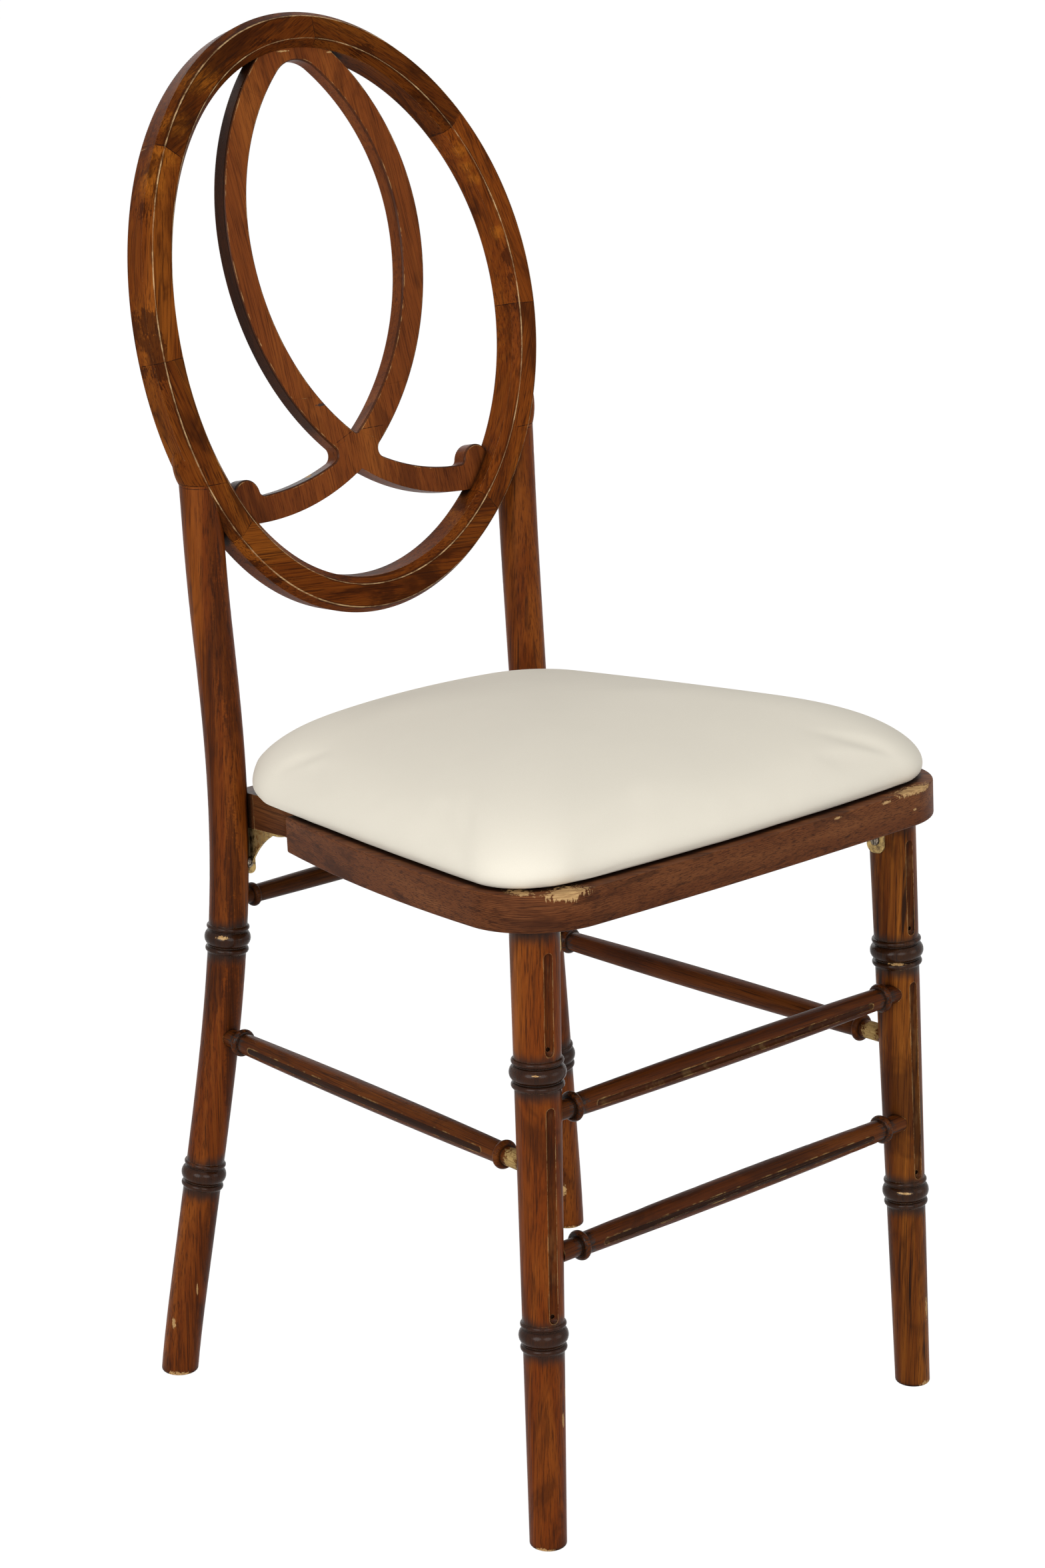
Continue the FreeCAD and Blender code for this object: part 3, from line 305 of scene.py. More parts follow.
def buildFlakedEdge():
    # finish flaked off a top edge: bare below the edge in streaks that run down
    tree, given, place = newPattern("flakedEdge", {
        "Centre": (0, 0, 0), "Size": (0.01, 0.01, 0.01)})
    streaks = noise(tree, stretched(tree, place, 0.16), 520.0, 3.0, 0.7)
    flakes = noise(tree, place, 260.0, 4.0, 0.7)
    rough = plus(tree, times(tree, streaks, 2.2), times(tree, flakes, 1.2))
    score = minus(tree, rough, times(tree, sizedReach(tree, place, given), 1.25))
    return giveOut(tree, {"Mask": remap(tree, score, 0.8, 1.06)})


def buildRidgeLine():
    # a worn line along the ring's two front ridges. With ro and ri the ellipse sums
    # sqrt((x/a)^2 + (s/b)^2) of the outer edge and of the opening, a point's share of the
    # way in is u = (1-ro) / ((1-ro) + k (ri-1)); the line lies where u or 1-u is ridgeShare
    tree, given, place = newPattern("ridgeLine", {})
    away = vectorCalc(tree, "SUBTRACT", place, back["centre"])
    x = axis(tree, away, 0)
    s = dot(tree, away, tuple(sheetUp))
    half = remap(tree, x, -0.001, 0.001, back["leftHalf"], back["rightHalf"])

    def ellipseSum(a, b):
        first, second = calc(tree, "DIVIDE", x, a), calc(tree, "DIVIDE", s, b)
        return calc(tree, "SQRT", plus(tree, times(tree, first, first), times(tree, second, second)))

    outer = minus(tree, 1.0, ellipseSum(half, back["halfHeight"]))
    inner = minus(tree, ellipseSum(back["openHalfWidth"], back["openHalfHeight"]), 1.0)
    share = calc(tree, "DIVIDE", outer, plus(tree, outer, times(tree, inner, back["innerWeight"])))
    nearer = calc(tree, "MINIMUM", share, minus(tree, 1.0, share))
    off = calc(tree, "ABSOLUTE", minus(tree, nearer, back["ridgeShare"]))
    off = calc(tree, "DIVIDE", off, back["ridgeHalfWidth"])
    front = remap(tree, dot(tree, surfaceNormal(tree), backFacing), 0.2, 0.5)
    patchy = remap(tree, noise(tree, place, 48.0, 4.0, 0.65), 0.43, 0.6, 0.1, 1.0)
    line = times(tree, remap(tree, off, 1.15, 0.55), front)
    return giveOut(tree, {
        "Mask": times(tree, line, patchy),
        "Beside": times(tree, remap(tree, off, 3.4, 1.2), front)})


def buildJointLine():
    # a hairline where two pieces are glued: near a plane, and near one point of it
    tree, given, place = newPattern("jointLine", {
        "Centre": (0, 0, 0), "Across": (0, 0, 1), "Reach": 0.02, "Half Width": 0.00016})
    away = vectorCalc(tree, "SUBTRACT", place, given["Centre"])
    gap = calc(tree, "ABSOLUTE", dot(tree, away, given["Across"]))
    line = remap(tree, gap, times(tree, given["Half Width"], 2.2), given["Half Width"])
    nearly = times(tree, given["Reach"], 0.85)
    near = remap(tree, vectorCalc(tree, "LENGTH", away), given["Reach"], nearly)
    ragged = remap(tree, noise(tree, place, 300.0, 2.0), 0.38, 0.55, 0.35, 1.0)
    return giveOut(tree, {
        "Mask": times(tree, times(tree, line, near), ragged),
        "Near": times(tree, remap(tree, gap, 0.0026, 0.0016), near)})


def buildGrooveShade():
    # painted shade in a flute: within Reach of the line from Start to End; Rim is its lip
    tree, given, place = newPattern("grooveShade", {
        "Start": (0, 0, 0), "End": (0, 0, 0), "Reach": 0.003})
    run = vectorCalc(tree, "SUBTRACT", given["End"], given["Start"])
    away = vectorCalc(tree, "SUBTRACT", place, given["Start"])
    share = calc(tree, "DIVIDE", dot(tree, away, run), dot(tree, run, run), clamp=True)
    foot = addNode(tree, "ShaderNodeVectorMath", {"operation": "SCALE"}, {0: run, "Scale": share}).outputs[0]
    far = vectorCalc(tree, "LENGTH", vectorCalc(tree, "SUBTRACT", away, foot))
    past = minus(tree, far, given["Reach"])
    patchy = noise(tree, stretched(tree, place, 0.5), 110.0)
    lip = remap(tree, calc(tree, "ABSOLUTE", minus(tree, past, 0.0004)), 0.0006, 0.0)
    return giveOut(tree, {
        "Mask": remap(tree, past, 0.0002, -0.0002),
        "Rim": times(tree, lip, remap(tree, patchy, 0.5, 0.66))})


stainShades = {
    "amber": (0.36, 0.11, 0.01, 1),
    "streak": (0.016, 0.006, 0.003, 1),
    # belt: the dark of the turned beads, and also the painted shade on the splat's rounded arrises
    "belt": (0.014, 0.006, 0.003, 1), "beltWeight": 0.88,
    # hollow: the near-black of glue joints and of stain gathered in hollows, and painted shade in hollows, in
    # flutes and on a shadowed wall
    "hollow": (0.007, 0.0035, 0.002, 1), "hollowWeight": 0.9,
    "poreWeight": 0.6,
    "wornRougher": 0.28, "fibreRougher": 0.14, "beltSmoother": 0.12, "beltCoat": 0.16,
}


def buildStainedColour():
    # stain over grain: deep in pores, near-black in hollows (stain and painted shade), bright on the figure,
    # bare where worn and on painted highlight lines
    black = (0, 0, 0, 1)
    tree, given = newGroup("stainedColour", {
        "Figure": 0.5, "Fibre": 0.5, "Pores": 0.0, "Cloud": 0.5, "Streak": 0.0, "Blotch": 0.5, "Amber": 0.0,
        "Hollow": 0.0, "Belt": 0.0, "Wear": 0.0, "Deep": black, "Body": black, "Bright": black, "Bare": black,
        "Figure Weight": 0.3, "Streak Weight": 0.4, "Blotch Weight": 0.4, "Roughness": 0.4})
    fibre, cloud, wear, belt = given["Fibre"], given["Cloud"], given["Wear"], given["Belt"]
    lift = times(tree, given["Figure"], given["Figure Weight"])
    lift = plus(tree, lift, remap(tree, cloud, 0.46, 0.72, 0.0, 0.75))
    lift = plus(tree, lift, remap(tree, fibre, 0.54, 0.74, 0.0, 0.3), clamp=True)
    blotch = times(tree, remap(tree, given["Blotch"], 0.5, 0.37), given["Blotch Weight"])
    dark = plus(tree, remap(tree, fibre, 0.52, 0.32, 0.0, 0.8), remap(tree, cloud, 0.46, 0.28, 0.0, 0.6),
                clamp=True)
    streak = times(tree, given["Streak"], given["Streak Weight"])
    pores = times(tree, given["Pores"], stainShades["poreWeight"])
    hollowStainAndShade = times(tree, given["Hollow"], stainShades["hollowWeight"])
    halfBare = mixColour(tree, 0.55, given["Bare"], given["Body"])
    bare = mixColour(tree, remap(tree, fibre, 0.35, 0.62), halfBare, given["Bare"])
    coats = [
        (lift, given["Bright"]), (given["Amber"], stainShades["amber"]), (blotch, given["Deep"]),
        (dark, given["Deep"]), (pores, given["Deep"]), (streak, stainShades["streak"]),
        (times(tree, belt, stainShades["beltWeight"]), stainShades["belt"]),
        (hollowStainAndShade, stainShades["hollow"]), (wear, bare)]
    colour = given["Body"]
    for amount, coat in coats:
        colour = mixColour(tree, amount, colour, coat)
    rough = plus(tree, given["Roughness"], times(tree, wear, stainShades["wornRougher"]))
    rough = plus(tree, rough, times(tree, fibre, stainShades["fibreRougher"]))
    height = minus(tree, times(tree, fibre, 0.5), times(tree, given["Pores"], 0.35))
    return giveOut(tree, {
        "Color": colour,
        "Roughness": minus(tree, rough, times(tree, belt, stainShades["beltSmoother"])),
        "Height": minus(tree, height, times(tree, wear, 0.5)),
        "Coat": times(tree, belt, stainShades["beltCoat"])})


woodGrain = buildWoodGrain()
arrisWear = buildArrisWear()
stainBand = buildStainBand()
wornSpot = buildWornSpot()
flakedEdge = buildFlakedEdge()
ridgeLine = buildRidgeLine()
jointLine = buildJointLine()
grooveShade = buildGrooveShade()
stainedColour = buildStainedColour()
print("effects:", len(bpy.data.node_groups), "groups")


# Materials
def emptyTree(owner):
    owner.use_nodes = True
    owner.node_tree.nodes.clear()
    return owner.node_tree


def newMaterial(name):
    # a material with a bare Principled shader, and the place it reads its patterns from
    material = bpy.data.materials.new(name)
    tree = emptyTree(material)
    shader = addNode(tree, "ShaderNodeBsdfPrincipled")
    addNode(tree, "ShaderNodeOutputMaterial", None, {"Surface": shader.outputs[0]})
    return material, tree, shader, addNode(tree, "ShaderNodeTexCoord").outputs["Object"]


woodLook = {
    "deep": (0.034, 0.0085, 0.0022),
    "body": (0.147, 0.03, 0.0035),
    "bright": (0.26, 0.072, 0.009),
    "bare": (0.6, 0.38, 0.16),
    "turn": (0.0, 0.0, 0.0),
    "seed": 0.0,
    "ringSpacing": 0.0045, "fibre": 0.001,
    "figureWeight": 0.3, "streakWeight": 0.45, "blotchWeight": 0.55,
    "wear": 0.35, "wearRadius": 0.0009, "breakSize": 0.012, "hollow": 0.006,
    "roughness": 0.33, "specular": 0.055, "coatRoughness": 0.16, "bump": 0.55, "bumpDepth": 0.00035,
    # marks: x, y, z and half sizes
    "spots": [], "flakes": [], "stains": [], "smokes": [], "ambers": [],
    # a belt: height, half height, fade; a joint: centre, way across, reach; a groove: start, end, reach
    "belts": [], "joints": [], "grooves": [],
    "rim": 0.22, "grooveDark": 0.86, "smokeAndShadeWeight": 0.24, "amberWeight": 0.62,
    "ridges": False, "ridgeWear": 0.68, "ridgeSmoke": 0.45,
    # painted light for a round edge: shadow on a wall, shade on the arris and a highlight line
    "wallDark": None, "wallWeight": 0.85, "arrisDark": 0.75, "arrisHighlight": 0.6,
}
softSpot = {"Ragged": 0.9, "Core": 0.1, "Edge": 1.25}


def grainVector(tree, place, turn):
    # the place turned so that the grain runs along z; "bent" follows a bent band
    if turn != "bent":
        return addNode(tree, "ShaderNodeMapping", None, {"Vector": place, "Rotation": turn}).outputs[0]
    along = dot(tree, place, (1.0, -1.0, 0.0))
    height = dot(tree, place, (-0.035, 0.035, 1.0))
    across = dot(tree, place, (0.15, 0.15, 0.0))
    return addNode(tree, "ShaderNodeCombineXYZ", None, {0: height, 1: across, 2: along}).outputs[0]


def roundedArris(tree, place, look):
    # the painted shade, the painted highlight line and the painted shadow on the wall of an edge that is
    # really round, by how far the surface has turned away from the back's own direction
    turned = dot(tree, surfaceNormal(tree), backFacing)
    dark = times(tree, remap(tree, turned, -0.05, 0.1), remap(tree, turned, 0.97, 0.86))
    line = times(tree, remap(tree, turned, 0.9, 0.95), remap(tree, turned, 0.995, 0.975))
    wall = times(tree, remap(tree, turned, 0.72, 0.45), remap(tree, turned, -0.6, -0.2))
    sideways = remap(tree, axis(tree, place, 0), *look["wallDark"], 0.0, look["wallWeight"])
    patchy = remap(tree, noise(tree, place, 120.0), 0.48, 0.66)
    return (times(tree, dark, look["arrisDark"]), times(tree, times(tree, line, patchy), look["arrisHighlight"]),
            times(tree, wall, sideways))


def stainedWood(name, **changes):
    look = {**woodLook, **changes}
    material, tree, shader, place = newMaterial(name)
    here = {"Vector": place}
    grain = placeGroup(tree, woodGrain, {
        "Vector": grainVector(tree, place, look["turn"]), "Seed": look["seed"],
        "Ring Spacing": look["ringSpacing"], "Fibre Size": look["fibre"]})
    joints = placeEach(tree, jointLine, ("Centre", "Across", "Reach"), look["joints"], here)
    grooves = placeEach(tree, grooveShade, ("Start", "End", "Reach"), look["grooves"], here)
    edges = placeGroup(tree, arrisWear, {
        **here, "Radius": look["wearRadius"], "Amount": look["wear"], "Break Size": look["breakSize"],
        "Hollow Reach": look["hollow"], "Quiet": strongest(tree, [joint["Near"] for joint in joints])})

    def masks(group, labels, rows, **sockets):
        return [placed["Mask"] for placed in placeEach(tree, group, labels, rows, {**here, **sockets})]

    def marks(kind):
        return [(row[:3], row[3:]) for row in look[kind]]

    def spots(kind, **sockets):
        return masks(wornSpot, ("Centre", "Size"), marks(kind), Fibre=grain["Fibre"], **sockets)

    belts = masks(stainBand, ("Height", "Half Height", "Fade"), look["belts"]) + spots("stains", Ragged=0.5)
    wear = [edges["Wear"]] + spots("spots") + masks(flakedEdge, ("Centre", "Size"), marks("flakes"))
    wear += [times(tree, groove["Rim"], look["rim"]) for groove in grooves]
    # near-black: painted shade in hollows and where parts meet (with the stain gathered there), and glue
    # joints
    hollows = [edges["Hollow"]] + [joint["Mask"] for joint in joints]
    # painted shade inside the flutes
    hollows += [times(tree, groove["Mask"], look["grooveDark"]) for groove in grooves]
    ambers, smokes = spots("ambers", **softSpot), spots("smokes", **softSpot)
    # painted shade on rounded arrises joins the belts, a painted highlight line joins the wear, and a painted
    # shadow on the wall joins the hollows
    if look["wallDark"]:
        dark, line, wall = roundedArris(tree, place, look)
        belts.append(dark)
        wear.append(line)
        hollows.append(wall)
    if look["ridges"]:
        ridge = placeGroup(tree, ridgeLine, here)
        wear.append(times(tree, ridge["Mask"], look["ridgeWear"]))
        smokes.append(times(tree, ridge["Beside"], look["ridgeSmoke"]))
    # dark patches: marks on the ring, darkening beside its ridges, and painted shade on the rear left leg
    smoke = times(tree, strongest(tree, smokes), look["smokeAndShadeWeight"])
    finish = placeGroup(tree, stainedColour, {
        **{part: grain[part] for part in ("Figure", "Fibre", "Pores", "Cloud", "Streak")},
        **{part.title(): (*look[part], 1.0) for part in ("deep", "body", "bright", "bare")},
        "Blotch": minus(tree, grain["Blotch"], smoke), "Belt": strongest(tree, belts),
        "Amber": times(tree, strongest(tree, ambers), look["amberWeight"]),
        "Hollow": strongest(tree, hollows), "Wear": strongest(tree, wear), "Roughness": look["roughness"],
        "Figure Weight": look["figureWeight"], "Streak Weight": look["streakWeight"],
        "Blotch Weight": look["blotchWeight"]})
    fillSockets(tree, shader.inputs, {
        "Base Color": finish["Color"], "Roughness": finish["Roughness"], "Coat Weight": finish["Coat"],
        "Normal": bumped(tree, finish["Height"], look["bump"], look["bumpDepth"], edges["Normal"]),
        "Specular IOR Level": look["specular"], "Coat Roughness": look["coatRoughness"]})
    return material


def dress(material, *names):
    for name in names:
        mesh = nodes[name].data
        for index in range(len(mesh.materials)):
            mesh.materials[index] = material


def tinted(colour, tone):
    return tuple(c * tone for c in colour)


# Oval ring: each glued segment has its own tone and a straight grain along its chord.
# Its marks are those of the photograph, on the segment's own surface.
ringWood = {
    "deep": (0.04, 0.009, 0.002), "body": (0.16, 0.036, 0.0045), "bright": (0.31, 0.088, 0.01),
    "bare": (0.74, 0.5, 0.25), "wear": 0.85, "wearRadius": 0.0008, "breakSize": 0.03, "ringSpacing": 0.0024,
    "figureWeight": 0.2, "streakWeight": 0.45, "blotchWeight": 0.75, "specular": 0.02, "roughness": 0.38,
    "ridges": True,
}
ringPieces = {
    "bottom": {
        "tone": 0.76,
        "smokes": [(-0.1103, 0.1304, 0.5684, 0.012, 0.012, 0.006),
                   (-0.0937, 0.1278, 0.5546, 0.016, 0.012, 0.005)],
        "ambers": [(-0.106, 0.115, 0.57, 0.014, 0.012, 0.01),
                   (-0.07, 0.108, 0.55, 0.016, 0.012, 0.006)]},
    "right_lower": {
        "tone": 1.0,
        "joints": [((0.156, 0.146, 0.6262), (0.0, 0.0, 1.0), 0.03)],
        "smokes": [(0.1481, 0.1554, 0.7142, 0.005, 0.008, 0.007)]},
    "right_upper": {
        "tone": 1.06,
        "smokes": [(0.1474, 0.1622, 0.7418, 0.005, 0.008, 0.007),
                   (0.148, 0.1587, 0.7257, 0.005, 0.008, 0.008)],
        "ambers": [(0.125, 0.1846, 0.8167, 0.005, 0.008, 0.007),
                   (0.1294, 0.1825, 0.8048, 0.005, 0.008, 0.006),
                   (0.1337, 0.179, 0.7964, 0.004, 0.008, 0.005),
                   (0.1449, 0.1671, 0.759, 0.004, 0.008, 0.006)]},
    "top_right": {
        "tone": 0.55,
        "smokes": [(0.056, 0.208, 0.89, 0.014, 0.01, 0.005)]},
    "top_left": {
        "tone": 0.6,
        "smokes": [(-0.017, 0.2113, 0.9004, 0.02, 0.01, 0.0035),
                   (-0.114, 0.194, 0.8558, 0.009, 0.008, 0.0018)],
        "ambers": [(-0.0897, 0.2036, 0.8812, 0.022, 0.012, 0.01),
                   (-0.118, 0.193, 0.856, 0.014, 0.012, 0.01)]},
    "left_upper": {
        "tone": 0.86,
        "smokes": [(-0.1706, 0.1619, 0.734, 0.006, 0.01, 0.012),
                   (-0.169, 0.1561, 0.7214, 0.006, 0.01, 0.009),
                   (-0.1713, 0.176, 0.729, 0.006, 0.007, 0.012),
                   (-0.156, 0.185, 0.805, 0.006, 0.01, 0.014)],
        "ambers": [(-0.1315, 0.1877, 0.8383, 0.014, 0.012, 0.012),
                   (-0.1464, 0.1869, 0.8224, 0.01, 0.012, 0.016)]},
    "left_lower": {
        "tone": 0.72,
        "joints": [((-0.156, 0.146, 0.6262), (0.0, 0.0, 1.0), 0.03)],
        "smokes": [(-0.169, 0.1527, 0.7021, 0.006, 0.01, 0.01),
                   (-0.1707, 0.1684, 0.7, 0.006, 0.007, 0.007),
                   (-0.156, 0.156, 0.66, 0.006, 0.01, 0.01)]},
}


def ringJoint(angle):
    # the plane of a joint across the ring, square to the leaning sheet; a point of the
    # sheet is centre + x across + s up along it
    t = math.radians(angle)
    outer = (back["halfWidth"] * math.cos(t), back["halfHeight"] * math.sin(t))
    inner = (back["openHalfWidth"] * math.cos(t), back["openHalfHeight"] * math.sin(t))
    dx, ds = outer[0] - inner[0], outer[1] - inner[1]
    size = math.hypot(dx, ds)
    across = Vector((-ds / size, 0, 0)) + sheetUp * (dx / size)
    middle = Vector(back["centre"]) + Vector(((outer[0] + inner[0]) / 2, 0, 0))
    return tuple(middle + sheetUp * ((outer[1] + inner[1]) / 2)), tuple(across), back["jointReach"]


def dressRing():
    for index, (name, look) in enumerate(ringPieces.items()):
        first, second = back["joints"][index:index + 2]
        a, b = math.radians(first), math.radians(second)
        dx = back["halfWidth"] * (math.cos(b) - math.cos(a))
        ds = back["halfHeight"] * (math.sin(b) - math.sin(a))
        tones = {part: tinted(ringWood[part], look["tone"]) for part in ("deep", "body", "bright")}
        material = stainedWood(
            "ringWood" + name.title().replace("_", ""), **(ringWood | tones),
            turn=(back["lean"], -math.atan2(dx, ds), 0.0), seed=1.7 + index * 0.9,
            joints=[ringJoint(first), ringJoint(second), *look.get("joints", [])],
            smokes=look.get("smokes", []), ambers=look.get("ambers", []))
        dress(material, "oval_ring_" + name)


dressRing()

# Splat: the grain runs up it
# wallDark: the left arc's outer wall, where a shadow is painted, with painted shade and a painted highlight
# on its rounded arrises
splatWood = stainedWood(
    "splatWood", body=(0.174, 0.043, 0.009), bright=(0.262, 0.076, 0.014), deep=(0.062, 0.015, 0.004),
    turn=(back["lean"], 0.1, 0.0), seed=5.1, wear=0.22, wearRadius=0.0007, breakSize=0.01, fibre=0.0008,
    specular=0.03, ringSpacing=0.0026, figureWeight=0.25, streakWeight=0.25, wallDark=(-0.022, -0.04),
    joints=[((-0.012, 0.1523, 0.637), tuple(Vector((0.37, 0, 0)) + sheetUp * -0.93), 0.0085),
            ((0.014, 0.153, 0.6401), tuple(sheetUp), 0.0105)],
    spots=[(-0.0403, 0.157, 0.6129, 0.004, 0.006, 0.0016), (-0.009, 0.2145, 0.893, 0.006, 0.004, 0.0007),
           (0.0318, 0.2136, 0.8894, 0.004, 0.004, 0.0006)],
    stains=[(-0.028, 0.1573, 0.6609, 0.006, 0.004, 0.0012)])
dress(splatWood, *(name for name in nodes if name.startswith("splat_")))

# Legs
frontLeg = {
    "foot": (0.1744, -0.22523, 0.0), "head": (0.164, -0.20073, 0.4),
    "footRadius": 0.012, "taper": 0.0095,
    "flutes": [(0.156, 0.2915), (0.331, 0.391)], "fluteRadius": 0.0033, "fluteSink": 0.0025,
    "turns": {"left": -12.0, "right": -3.5},
    "belts": [(0.1415, 0.009, 0.009), (0.3145, 0.009, 0.009), (0.41, 0.001, 0.012)],
}
frontLegLooks = {
    "left": {
        "streakWeight": 0.35, "seed": 2.3,
        "spots": [(-0.186, -0.233, 0.0, 0.01, 0.01, 0.0028),
                  (-0.179, -0.2182, 0.3183, 0.003, 0.003, 0.0006),
                  (-0.1815, -0.233, 0.137, 0.004, 0.004, 0.0008),
                  (-0.1682, -0.232, 0.0872, 0.0012, 0.002, 0.006),
                  (-0.1639, -0.2292, 0.1033, 0.001, 0.002, 0.005)]},
    "right": {
        "streakWeight": 0.95, "seed": 6.1, "body": (0.106, 0.025, 0.0035), "bright": (0.255, 0.08, 0.01),
        "blotchWeight": 0.6, "figureWeight": 0.4,
        "spots": [(0.176, -0.238, 0.0, 0.008, 0.008, 0.004),
                  # a thin cream line on the bead's lower ring: a painted glint
                  (0.1528, -0.2176, 0.3095, 0.009, 0.008, 0.0008),
                  (0.159, -0.226, 0.145, 0.006, 0.007, 0.0008),
                  (0.1768, -0.2336, 0.0577, 0.0015, 0.003, 0.01)]},
}


def fluteLine(side, z):
    # the middle of the flute's cutter at height z on a front leg
    sign = -1 if side == "left" else 1
    foot, head = (Vector((sign * p[0], p[1], p[2])) for p in (frontLeg["foot"], frontLeg["head"]))
    way = (head - foot).normalized()
    turn = math.radians(frontLeg["turns"][side])
    out = Vector((math.sin(turn), -math.cos(turn), 0.0))
    out = (out - way * out.dot(way)).normalized()
    radius = frontLeg["footRadius"] + frontLeg["taper"] * z
    return tuple(foot + way * (z / way.z) + out * (radius - frontLeg["fluteSink"] + frontLeg["fluteRadius"]))


for side, look in frontLegLooks.items():
    # the flutes are darkened with painted shade
    flutes = [(fluteLine(side, low), fluteLine(side, high), frontLeg["fluteRadius"])
              for low, high in frontLeg["flutes"]]
    legWood = stainedWood(
        "frontLegWood" + side.title(), **look, wear=0.52, breakSize=0.009, ringSpacing=0.006,
        grooves=flutes, belts=frontLeg["belts"])
    dress(legWood, "front_leg_" + side)

rearLegWood = stainedWood(
    "rearLegWood", body=(0.124, 0.026, 0.0034), bright=(0.25, 0.068, 0.009), seed=7.7, wear=0.5,
    breakSize=0.009, belts=[(0.1441, 0.009, 0.01), (0.3131, 0.009, 0.01)], ringSpacing=0.0065,
    streakWeight=0.5, joints=[((x, 0.1396, 0.624), (0.0, 0.0, 1.0), 0.03) for x in (-0.153, 0.153)],
    # painted shade down the right side of the rear left leg
    smokes=[(-0.143, 0.127, 0.515, 0.007, 0.009, 0.11), (-0.147, 0.115, 0.35, 0.006, 0.009, 0.08),
            (-0.153, 0.114, 0.23, 0.007, 0.009, 0.08), (-0.167, 0.123, 0.09, 0.007, 0.009, 0.06)],
    spots=[(-0.159, 0.1135, 0.3175, 0.006, 0.007, 0.0018), (0.1738, 0.1274, 0.0331, 0.003, 0.005, 0.006),
           (-0.196, 0.128, 0.0, 0.012, 0.01, 0.0034), (0.183, 0.13, 0.0, 0.01, 0.01, 0.003),
           (-0.1951, 0.1326, 0.0385, 0.001, 0.002, 0.005), (-0.182, 0.1221, 0.0642, 0.0006, 0.001, 0.005)])
dress(rearLegWood, "rear_leg_left", "rear_leg_right")

# Stretchers: grain along each bar, painted shade in the flutes and stain at the collars
def frontBar(x, y, z, collar):
    return {"from": (-x, y, z), "to": (x, y, z), "collars": (collar, collar), "radius": 0.0085,
            "out": (0, -1, 0), "turn": alongX}


def sideBar(sign):
    # from the rear leg to the front one, near which it is rubbed bare
    return {"from": (sign * 0.15292, 0.12615, 0.2448), "to": (sign * 0.16787, -0.20985, 0.2511),
            "collars": (0.026, 0.034), "radius": 0.00825, "out": (sign, 0, 0),
            "turn": (math.pi / 2, sign * 0.03, 0.0), "rubbed": 0.0215}


bars = {
    "front_stretcher_upper": frontBar(0.16693, -0.21283, 0.2874, 0.0238),
    "front_stretcher_lower": frontBar(0.16934, -0.2185, 0.1947, 0.0278),
    "side_stretcher_left": sideBar(-1),
    "side_stretcher_right": sideBar(1),
}
barMarks = {
    "fluteInset": 0.017, "fluteReach": 0.0022, "fluteSink": 0.0002,  # inset from the collars
    "collar": (0.012, 0.012, 0.012), "rubbed": (0.013, 0.009, 0.013),
}
barWood = {
    "body": (0.07, 0.016, 0.0026), "bright": (0.148, 0.042, 0.007), "deep": (0.026, 0.007, 0.002),
    "bare": (0.5, 0.34, 0.13), "rim": 0.5, "wear": 0.4, "breakSize": 0.01, "hollow": 0.005,
}


def dressBar(name, bar):
    start, end, out = Vector(bar["from"]), Vector(bar["to"]), Vector(bar["out"])
    way = (end - start).normalized()
    out = (out - way * out.dot(way)).normalized() * (bar["radius"] - barMarks["fluteSink"])
    first, last = bar["collars"]
    low = start + way * (first + barMarks["fluteInset"]) + out
    high = end - way * (last + barMarks["fluteInset"]) + out
    stains = [(*spot, *barMarks["collar"]) for spot in (start + way * first, end - way * last)]
    spots = []
    if "rubbed" in bar:
        spots = [(*(end - way * bar["rubbed"]), *barMarks["rubbed"])]
        stains = stains[:1]
    # the bar's flute is darkened with painted shade
    wood = stainedWood(
        "barWood" + name.title().replace("_", ""), **barWood, turn=bar["turn"], seed=3.9 + 9 * end.z,
        grooves=[(tuple(low), tuple(high), barMarks["fluteReach"])], stains=stains, spots=spots)
    dress(wood, name)


for name, bar in bars.items():
    dressBar(name, bar)
rearBarWood = stainedWood(
    "rearBarWood", body=(0.036, 0.01, 0.003), bright=(0.072, 0.022, 0.005), deep=(0.014, 0.005, 0.002),
    turn=alongX, seed=3.1, wear=0.3, breakSize=0.01)
dress(rearBarWood, "rear_stretcher")

# Seat frame: fine grain along the bent band, rubbed at the two front corners
bandWood = stainedWood(
    "bandWood", body=(0.104, 0.031, 0.01), bright=(0.18, 0.064, 0.022), deep=(0.03, 0.009, 0.004),
    turn="bent", seed=6.6, wear=0.62, wearRadius=0.001, breakSize=0.02, fibre=0.0007, ringSpacing=0.001,
    figureWeight=0.6, streakWeight=0.5, hollow=0.004, roughness=0.42, bare=(0.54, 0.34, 0.15),
    flakes=[(-0.165, -0.2305, 0.4372, 0.022, 0.018, 0.0075),
            (-0.183, -0.204, 0.4366, 0.01, 0.02, 0.0022),
            (0.15, -0.235, 0.4372, 0.03, 0.014, 0.0036)],
    spots=[(0.1173, -0.2362, 0.4358, 0.005, 0.004, 0.0012), (0.0693, -0.2373, 0.4359, 0.004, 0.004, 0.001),
           (0.146, -0.236, 0.425, 0.0018, 0.004, 0.001)])
dress(bandWood, "seat_band")
railTones = {
    "body": (0.09, 0.028, 0.009), "bright": (0.14, 0.05, 0.016), "deep": (0.03, 0.01, 0.004),
    "breakSize": 0.014, "fibre": 0.0006, "ringSpacing": 0.003,
}
railWood = stainedWood("railWood", **railTones, turn=alongY, seed=8.2, wear=0.62)
dress(railWood, "seat_rail_left", "seat_rail_right", "corner_block_left", "corner_block_right")
crossRailWood = stainedWood("crossRailWood", **railTones, turn=alongX, seed=9.3, wear=0.45)
dress(crossRailWood, "seat_rail_front", "seat_rail_rear")
